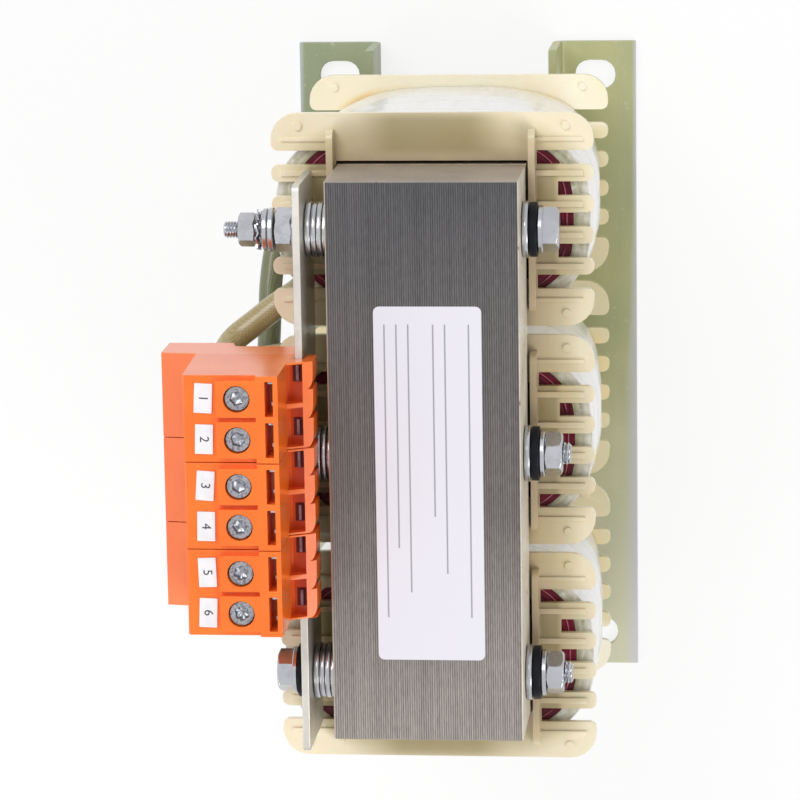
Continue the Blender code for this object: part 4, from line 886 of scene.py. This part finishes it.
def makeBolt(nodeName, outward, stud=0.0):
    low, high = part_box(nodeName)
    length = high.y - low.y
    headEnd = high.y if outward > 0 else low.y
    seat = -hexagon["washerThick"] - hexagon["head"]  # heights run down from the head's outer face
    end = stud - length
    shank, threaded = hexagon["shank"], end + hexagon["threaded"]
    shells = [
        hexShell("head", hexagon["flats"], -hexagon["head"], 0.0, 0.0, False),
        washerFace(seat, 0.0),
        ringMesh("shank", [(0.0, seat), (shank, seat), (shank, threaded), (0.0, threaded)], 32),
        threadShell("bolt", -threaded - 0.0005, -end),
    ]
    if stud:
        shells.append(threadShell("stud", -end - 0.001, length))
    mesh = stand(joined(nodeName + "_made", shells), nodeName, outward, headEnd)
    addPiece(nodeName + "_made", mesh, boltZinc, (nodeName,))


def makeNut(nodeName, outward):
    low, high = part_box(nodeName)
    seatY = low.y if outward > 0 else high.y
    deep = high.y - low.y
    shells = [
        hexShell("nut", hexagon["flats"], hexagon["washerThick"], deep, hexagon["bore"], True),
        washerFace(0.0, hexagon["bore"]),
    ]
    mesh = stand(joined(nodeName + "_made", shells), nodeName, outward, seatY)
    addPiece(nodeName + "_made", mesh, boltZinc, (nodeName,))


washerLook = {
    "bore": 0.0042,
    "edge": 0.00025,
    "spacers": 4,
    "shy": (0.0, 0.0004, 0.0001, 0.0003),  # how much smaller than the node each disc is
    "gap": 0.00008,
}


def makeDiscs(nodeName, finish, count=1):
    # discs with rounded edges share the node's depth
    low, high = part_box(nodeName)
    thick, bore, edge = (high.y - low.y) / count, washerLook["bore"], washerLook["edge"]
    gap = washerLook["gap"] if count > 1 else 0.0
    shells = []
    for k in range(count):
        rim = (high.x - low.x) / 2 - washerLook["shy"][k]
        a, b = k * thick + gap, (k + 1) * thick - gap
        profile = [(bore, a), (rim - edge, a), (rim - edge * 0.3, a + edge * 0.3), (rim, a + edge)]
        profile += [(rim, b - edge), (rim - edge * 0.3, b - edge * 0.3), (rim - edge, b), (bore, b)]
        shells.append(ringMesh("disc", profile, 72))
    mesh = stand(joined(nodeName + "_made", shells), nodeName, 1, low.y)
    addPiece(nodeName + "_made", mesh, finish, (nodeName,))


for name in sorted(nodes):
    if name.startswith("insulating_washer"):
        makeDiscs(name, black)
    elif name.startswith("steel_washer"):
        makeDiscs(name, boltZinc)
    elif name.startswith("plate_spacer"):
        makeDiscs(name, boltZinc, washerLook["spacers"])

# earth stud: small nut on a toothed washer, with two flat washers under it
earthLook = {
    "flats": 0.010,
    "bore": 0.0033,
    "collar": 0.0022,
    "teeth": 9,
    "toothThick": 0.0006,
    "twist": 0.00085,
    "valley": 0.0050,
    "tip": 0.0068,
    "washerEdge": 0.00035,
    "washerShy": 0.0003,
}


def makeEarthNut():
    # the washer's teeth: radius steps between valley and tip, and height tilts across each tooth
    low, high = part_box("earth_nut")
    deep, collar = high.y - low.y, earthLook["collar"]

    def teeth(theta, k, r, z):
        phase = np.mod(theta * earthLook["teeth"] / (2 * math.pi), 1.0)
        tooth = np.clip(np.minimum(phase, 1.0 - phase) * 14.0 - 1.4, 0.0, 1.0)
        if k in (1, 2):
            r = r + (earthLook["tip"] - earthLook["valley"]) * tooth
            z = z + earthLook["twist"] * (2 * phase - 1.0) * tooth
        return r, z

    bore, valley = earthLook["bore"], earthLook["valley"]
    under, over = (collar - earthLook["toothThick"]) / 2, (collar + earthLook["toothThick"]) / 2
    washer = [(bore, under), (valley, under), (valley, over), (bore, over)]
    shells = [
        hexShell("nut", earthLook["flats"], collar, deep, bore, True),
        ringMesh("lock", washer, 240, teeth),
    ]
    mesh = stand(joined("earth_nut_made", shells), "earth_nut", -1, high.y)
    addPiece("earth_nut_made", mesh, boltZinc, ("earth_nut",))


def makeEarthWashers():
    low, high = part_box("earth_washers")
    thick, edge = (high.y - low.y) / 2, earthLook["washerEdge"]
    bore, outer = earthLook["bore"] + 0.0001, (high.x - low.x) / 2
    shells = []
    for k, rim in enumerate((outer, outer - earthLook["washerShy"])):
        a, b = k * thick + 0.0001, (k + 1) * thick - 0.0001
        profile = [(bore, a), (rim - edge, a), (rim, a + edge), (rim, b - edge), (rim - edge, b), (bore, b)]
        shells.append(ringMesh("flat", profile))
    mesh = stand(joined("earth_washers_made", shells), "earth_washers", -1, high.y)
    addPiece("earth_washers_made", mesh, boltZinc, ("earth_washers",))


makeEarthNut()
makeEarthWashers()
makeBolt("upper_bolt_1", 1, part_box("upper_nut_1")[0].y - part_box("upper_bolt_1")[0].y)
makeNut("upper_nut_1", -1)
for k in (2, 3):
    makeBolt(f"upper_bolt_{k}", -1)
    makeNut(f"upper_nut_{k}", 1)
for k in (1, 2, 3):
    makeBolt(f"lower_bolt_{k}", -1)
    makeNut(f"lower_nut_{k}", 1)
print("bolts and nuts made")

# leads: varnished woven sleeves, tan on the outer row and greener on the inner row
sleeveLook = {
    "weave": 0.0008,
    "tan": (0.76, 0.66, 0.40),
    "brown": (0.50, 0.40, 0.16),
    "green": (0.26, 0.28, 0.14),
    "moss": (0.19, 0.21, 0.10),
}


def makeSleeve(name, light, dark):
    sleeve = Finish(name, light, 0.32, Coat_Weight=0.5)
    slant = sleeve.axis("Z") * 0.8 + sleeve.axis("Y")
    other = sleeve.axis("X") - sleeve.axis("Z") * 0.5
    pitch = sleeveLook["weave"]
    weave = (slant / pitch).maths("PINGPONG", 0.5) + (other / pitch).maths("PINGPONG", 0.5)
    cloud = sleeve.noise(70.0, 3.0)
    base = sleeve.mix(cloud.between(0.35, 0.7), light, dark)
    sleeve.set("Base Color", sleeve.mix(weave.between(0.2, 0.5) * 0.3, tuple(0.6 * c for c in dark), base))
    sleeve.set("Normal", sleeve.bump(weave, 0.00012, 0.5))
    return sleeve


def smoothTube(nodeName, finish):
    # the node's own tube with its triangles paired to quads and subdivided
    work = bmesh.new()
    work.from_mesh(nodes[nodeName].data)
    bmesh.ops.remove_doubles(work, verts=work.verts, dist=nodeWeld)
    bmesh.ops.join_triangles(work, faces=work.faces, angle_face_threshold=0.7, angle_shape_threshold=0.9)
    mesh = bpy.data.meshes.new(nodeName + "_smooth")
    work.to_mesh(mesh)
    work.free()
    piece = addPiece(nodeName + "_smooth", mesh, finish, (nodeName,), 80.0)
    finer = piece.modifiers.new("finer", "SUBSURF")
    finer.levels = 2
    finer.render_levels = 2
    return piece


sleeveTan = makeSleeve("sleeve_tan", sleeveLook["tan"], sleeveLook["brown"])
sleeveGreen = makeSleeve("sleeve_green", sleeveLook["green"], sleeveLook["moss"])
for k in range(1, 7):
    smoothTube(f"lead_{k}", sleeveTan if k < 4 else sleeveGreen)
print("leads made")

# clamp screws: hexagon sockets on the first four, six-lobed ones on the last two, fine teeth round the rim
screwLook = {
    "columns": 72,
    "head": 0.004,
    "shaft": 0.0028,
    "flats": 0.0040,
    "star": 0.0021,
    "deep": 0.0021,
    "teeth": 0.00013,
    "turns": (0.3, 0.75, 0.1, 0.5, 0.2, 0.9),
}


def screwMesh(number, rim, length):
    # the socket wall is a hexagon or r = a (1 + 0.13 cos 6 theta); heights run down from the head's top
    theta = np.arange(screwLook["columns"]) * 2 * math.pi / screwLook["columns"]
    turned = theta + screwLook["turns"][number - 1]
    if number > 4:
        wall = screwLook["star"] * (1 + 0.13 * np.cos(6 * turned))
    else:
        wall = hexRadius(turned, screwLook["flats"])
    teeth = screwLook["teeth"] * (1 + np.cos(36 * theta))
    one, deep, head, shaft = np.ones_like(theta), screwLook["deep"], screwLook["head"], screwLook["shaft"]
    rows = [
        (0.0 * one, -deep - 0.0008),
        (wall * 0.75, -deep - 0.0003),
        (wall * 0.98, -deep),
        (wall, -0.00035),
        (wall + 0.0002, -0.0001),
        (one * (rim * 0.9), 0.0),
        (one * (rim - 0.00015), -0.00006),
        (rim - 0.00003 - teeth, -0.0002),
        (rim - teeth, -0.0006),
        (rim - teeth, -head),
        (one * shaft, -head),
        (one * shaft, -length),
        (0.0 * one, -length),
    ]
    rings = [np.stack([r * np.cos(theta), r * np.sin(theta), z * one], -1) for r, z in rows]
    return tidyNormals(gridMesh("screw", np.stack(rings)))


screwSteel = makeZinc("screw_steel", zincLook["screw"], 0.3, (1.0, 1.0, 1.0), 0.35, 0.8, 1100.0)
poleX = []
for k in range(1, 7):
    low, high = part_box(f"clamp_screw_{k}")
    poleX.append((low.x + high.x) / 2)
    mesh = screwMesh(k, (high.x - low.x) / 2, high.z - low.z)
    mesh.transform(Matrix.Translation(((low.x + high.x) / 2, (low.y + high.y) / 2, high.z)))
    addPiece(f"clamp_screw_{k}_made", mesh, screwSteel, (f"clamp_screw_{k}",))
print("clamp screws made")

# number tags in the hollow before each screw, white with plain dark digits
blockLow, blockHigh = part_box("terminal_block_1")
tagLook = {
    "half": (0.0049, 0.00295),
    "thick": 0.00035,
    "corner": 0.0003,
    "lift": 0.00004,
    "ink": 0.00003,
    "white": ((0.80, 0.79, 0.81), (0.74, 0.73, 0.76)),
    "y": coreY - 0.0692,
    "z": blockHigh.z - 0.0022,
    "turns": (-0.05, -0.03, -0.07, -0.02, 0.03, -0.04),
    "digit": 0.0043,
}
tagWhite = Finish("tag_white", (0.86, 0.85, 0.87), 0.4)
smudge = tagWhite.noise(260.0).between(0.35, 0.7)
tagWhite.set("Base Color", tagWhite.mix(smudge, *tagLook["white"]))
ink = Finish("print_ink", (0.045, 0.045, 0.055), 0.45)
ink.set("Roughness", ink.noise(300.0) * 0.2 + 0.35)


def digitMesh(number, at, turn):
    curve = bpy.data.curves.new("digit", "FONT")
    curve.body = str(number)
    curve.size = tagLook["digit"]
    curve.align_x = "CENTER"
    curve.align_y = "CENTER"
    curve.extrude = tagLook["ink"]
    holder = bpy.data.objects.new("digit", curve)
    bpy.context.scene.collection.objects.link(holder)
    bpy.context.view_layer.update()
    mesh = bpy.data.meshes.new_from_object(holder.evaluated_get(bpy.context.evaluated_depsgraph_get()))
    bpy.data.objects.remove(holder)
    bpy.data.curves.remove(curve)
    mesh.transform(Matrix.Translation(at) @ Matrix.Rotation(turn, 4, "Z"))
    return mesh


plates, digits = [], []
for number, (x, turn) in enumerate(zip(poleX, tagLook["turns"]), 1):
    at = (x, tagLook["y"], tagLook["z"] + tagLook["lift"])
    plates.append(roundedSheet("tag", tagLook["half"], tagLook["thick"], tagLook["corner"], at, turn))
    digits.append(digitMesh(number, (*at[:2], at[2] + tagLook["thick"] + tagLook["ink"]), turn))
addPiece("number_tags", joined("number_tags", plates), tagWhite)
addPiece("tag_digits", joined("tag_digits", digits), ink)
print("tags laid")

# sprung contacts in the probe slots, blades in the pocket slots, clamp cages in the wire entries
contactLook = {
    "slotY": plateLow.y - 0.00435,
    "spring": ((-0.0055, -0.0007, -0.010), (-0.0050, 0.0009, -0.0009)),
    "tail": ((0.0024, -0.0005, -0.0108), (0.0036, 0.0001, -0.0078)),
    "pocket": (-0.0101, 0.0081),  # from the block's middle
    "pocketFloor": topZ + 0.0016,
    "slot": ((-0.0031, -0.0018, 0.0), (0.0031, 0.0018, 0.00006)),
    "blade": ((-0.0026, -0.0005, 0.0), (0.0026, 0.0004, 0.0016)),
    "cage": (0.0046, 0.0052, 0.0011, 0.004),  # half width, half height, wall, depth
    "front": coreY - 0.0728,
    "entry": blockLow.z + 0.0279,
}
# painted shadow: the slot floors get a thin dark red sheet
slotShadow = Finish("slot_shadow", (0.16, 0.012, 0.008), 0.6)
slotShadow.set("Roughness", slotShadow.noise(300.0) * 0.2 + 0.5)
contactSteel = makeZinc("contact_steel", (0.62, 0.58, 0.60), 0.24, (1.0, 1.0, 0.1))
bladeSteel = makeZinc("blade_steel", (0.30, 0.19, 0.22), 0.4, (0.1, 1.0, 1.0))


def makeContacts():
    # a cage is an upright ring of four corners, carried back along its outside and forward along its inside
    springs, slotShadows, blades, cages = [], [], [], []
    look, outline = contactLook, np.array([(-1, -1), (1, -1), (1, 1), (-1, 1)])
    halfX, halfZ, wall, deep = look["cage"]
    front, back = look["front"], look["front"] + deep
    for number, x in enumerate(poleX):
        at = (x, look["slotY"], blockHigh.z)
        springs += [boxAbout("spring", at, *look["spring"]), boxAbout("tail", at, *look["tail"])]
        blockX = (poleX[number // 2 * 2] + poleX[number // 2 * 2 + 1]) / 2
        at = (blockX + look["pocket"][number % 2], plateLow.y + 0.0012, look["pocketFloor"])
        # painted shadow sheet on the pocket slot's floor
        slotShadows.append(boxAbout("slot", at, *look["slot"]))
        blades.append(boxAbout("blade", at, *look["blade"]))
        rows = []
        for inset, y in ((0.0, front), (0.0, back), (wall, back), (wall, front)):
            ring = outline * np.array([halfX - inset, halfZ - inset])
            rows.append(np.stack([x + ring[:, 0], np.full(4, y), look["entry"] + ring[:, 1]], -1))
        cages.append(tidyNormals(gridMesh("cage", np.stack(rows), closeRows=True)))
    addPiece("probe_contacts", joined("probe_contacts", springs), contactSteel)
    addPiece("pocket_slot_shadows", joined("pocket_slot_shadows", slotShadows), slotShadow)
    addPiece("pocket_blades", joined("pocket_blades", blades), bladeSteel)
    addPiece("clamp_cages", joined("clamp_cages", cages), boltZinc)


makeContacts()
print("contacts made")

# label on the upper yoke: white foil with a few plain thin bars
labelLook = {
    "x": (-0.0533, 0.0669),
    "y": (-0.0164, 0.0194),
    "thick": 0.00012,
    "corner": 0.002,
    "lift": 0.00002,
    "margin": 0.006,
    "barWide": 0.0005,
    "barThick": 0.00003,
    "bars": (  # share of the label's width, share of its length
        (0.10, 0.92),
        (0.21, 0.70),
        (0.32, 0.84),
        (0.55, 0.60),
        (0.66, 0.78),
        (0.88, 0.92),
    ),
}
paper = Finish("label_foil", (0.71, 0.70, 0.765), 0.34)
paper.set("Roughness", paper.noise(200.0) * 0.1 + 0.28)
barInk = Finish("bar_ink", (0.33, 0.33, 0.36), 0.45)
barInk.set("Roughness", barInk.noise(300.0) * 0.2 + 0.35)


def makeLabel():
    (x0, x1), (y0, y1) = labelLook["x"], labelLook["y"]
    middle = ((x0 + x1) / 2, coreY + (y0 + y1) / 2, topZ + labelLook["lift"])
    half = ((x1 - x0) / 2, (y1 - y0) / 2)
    foil = roundedSheet("yoke_label", half, labelLook["thick"], labelLook["corner"], middle)
    addPiece("yoke_label", foil, paper)
    bars = []
    margin, wide = labelLook["margin"], labelLook["barWide"]
    for across, along in labelLook["bars"]:
        at = (x0 + margin, coreY + y0 + across * (y1 - y0), middle[2] + labelLook["thick"])
        length = along * (half[0] - margin) * 2
        bars.append(boxAbout("bar", at, (0.0, -wide / 2, 0.0), (length, wide / 2, labelLook["barThick"])))
    addPiece("label_bars", joined("label_bars", bars), barInk)


makeLabel()
print("label laid")

low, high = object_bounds()
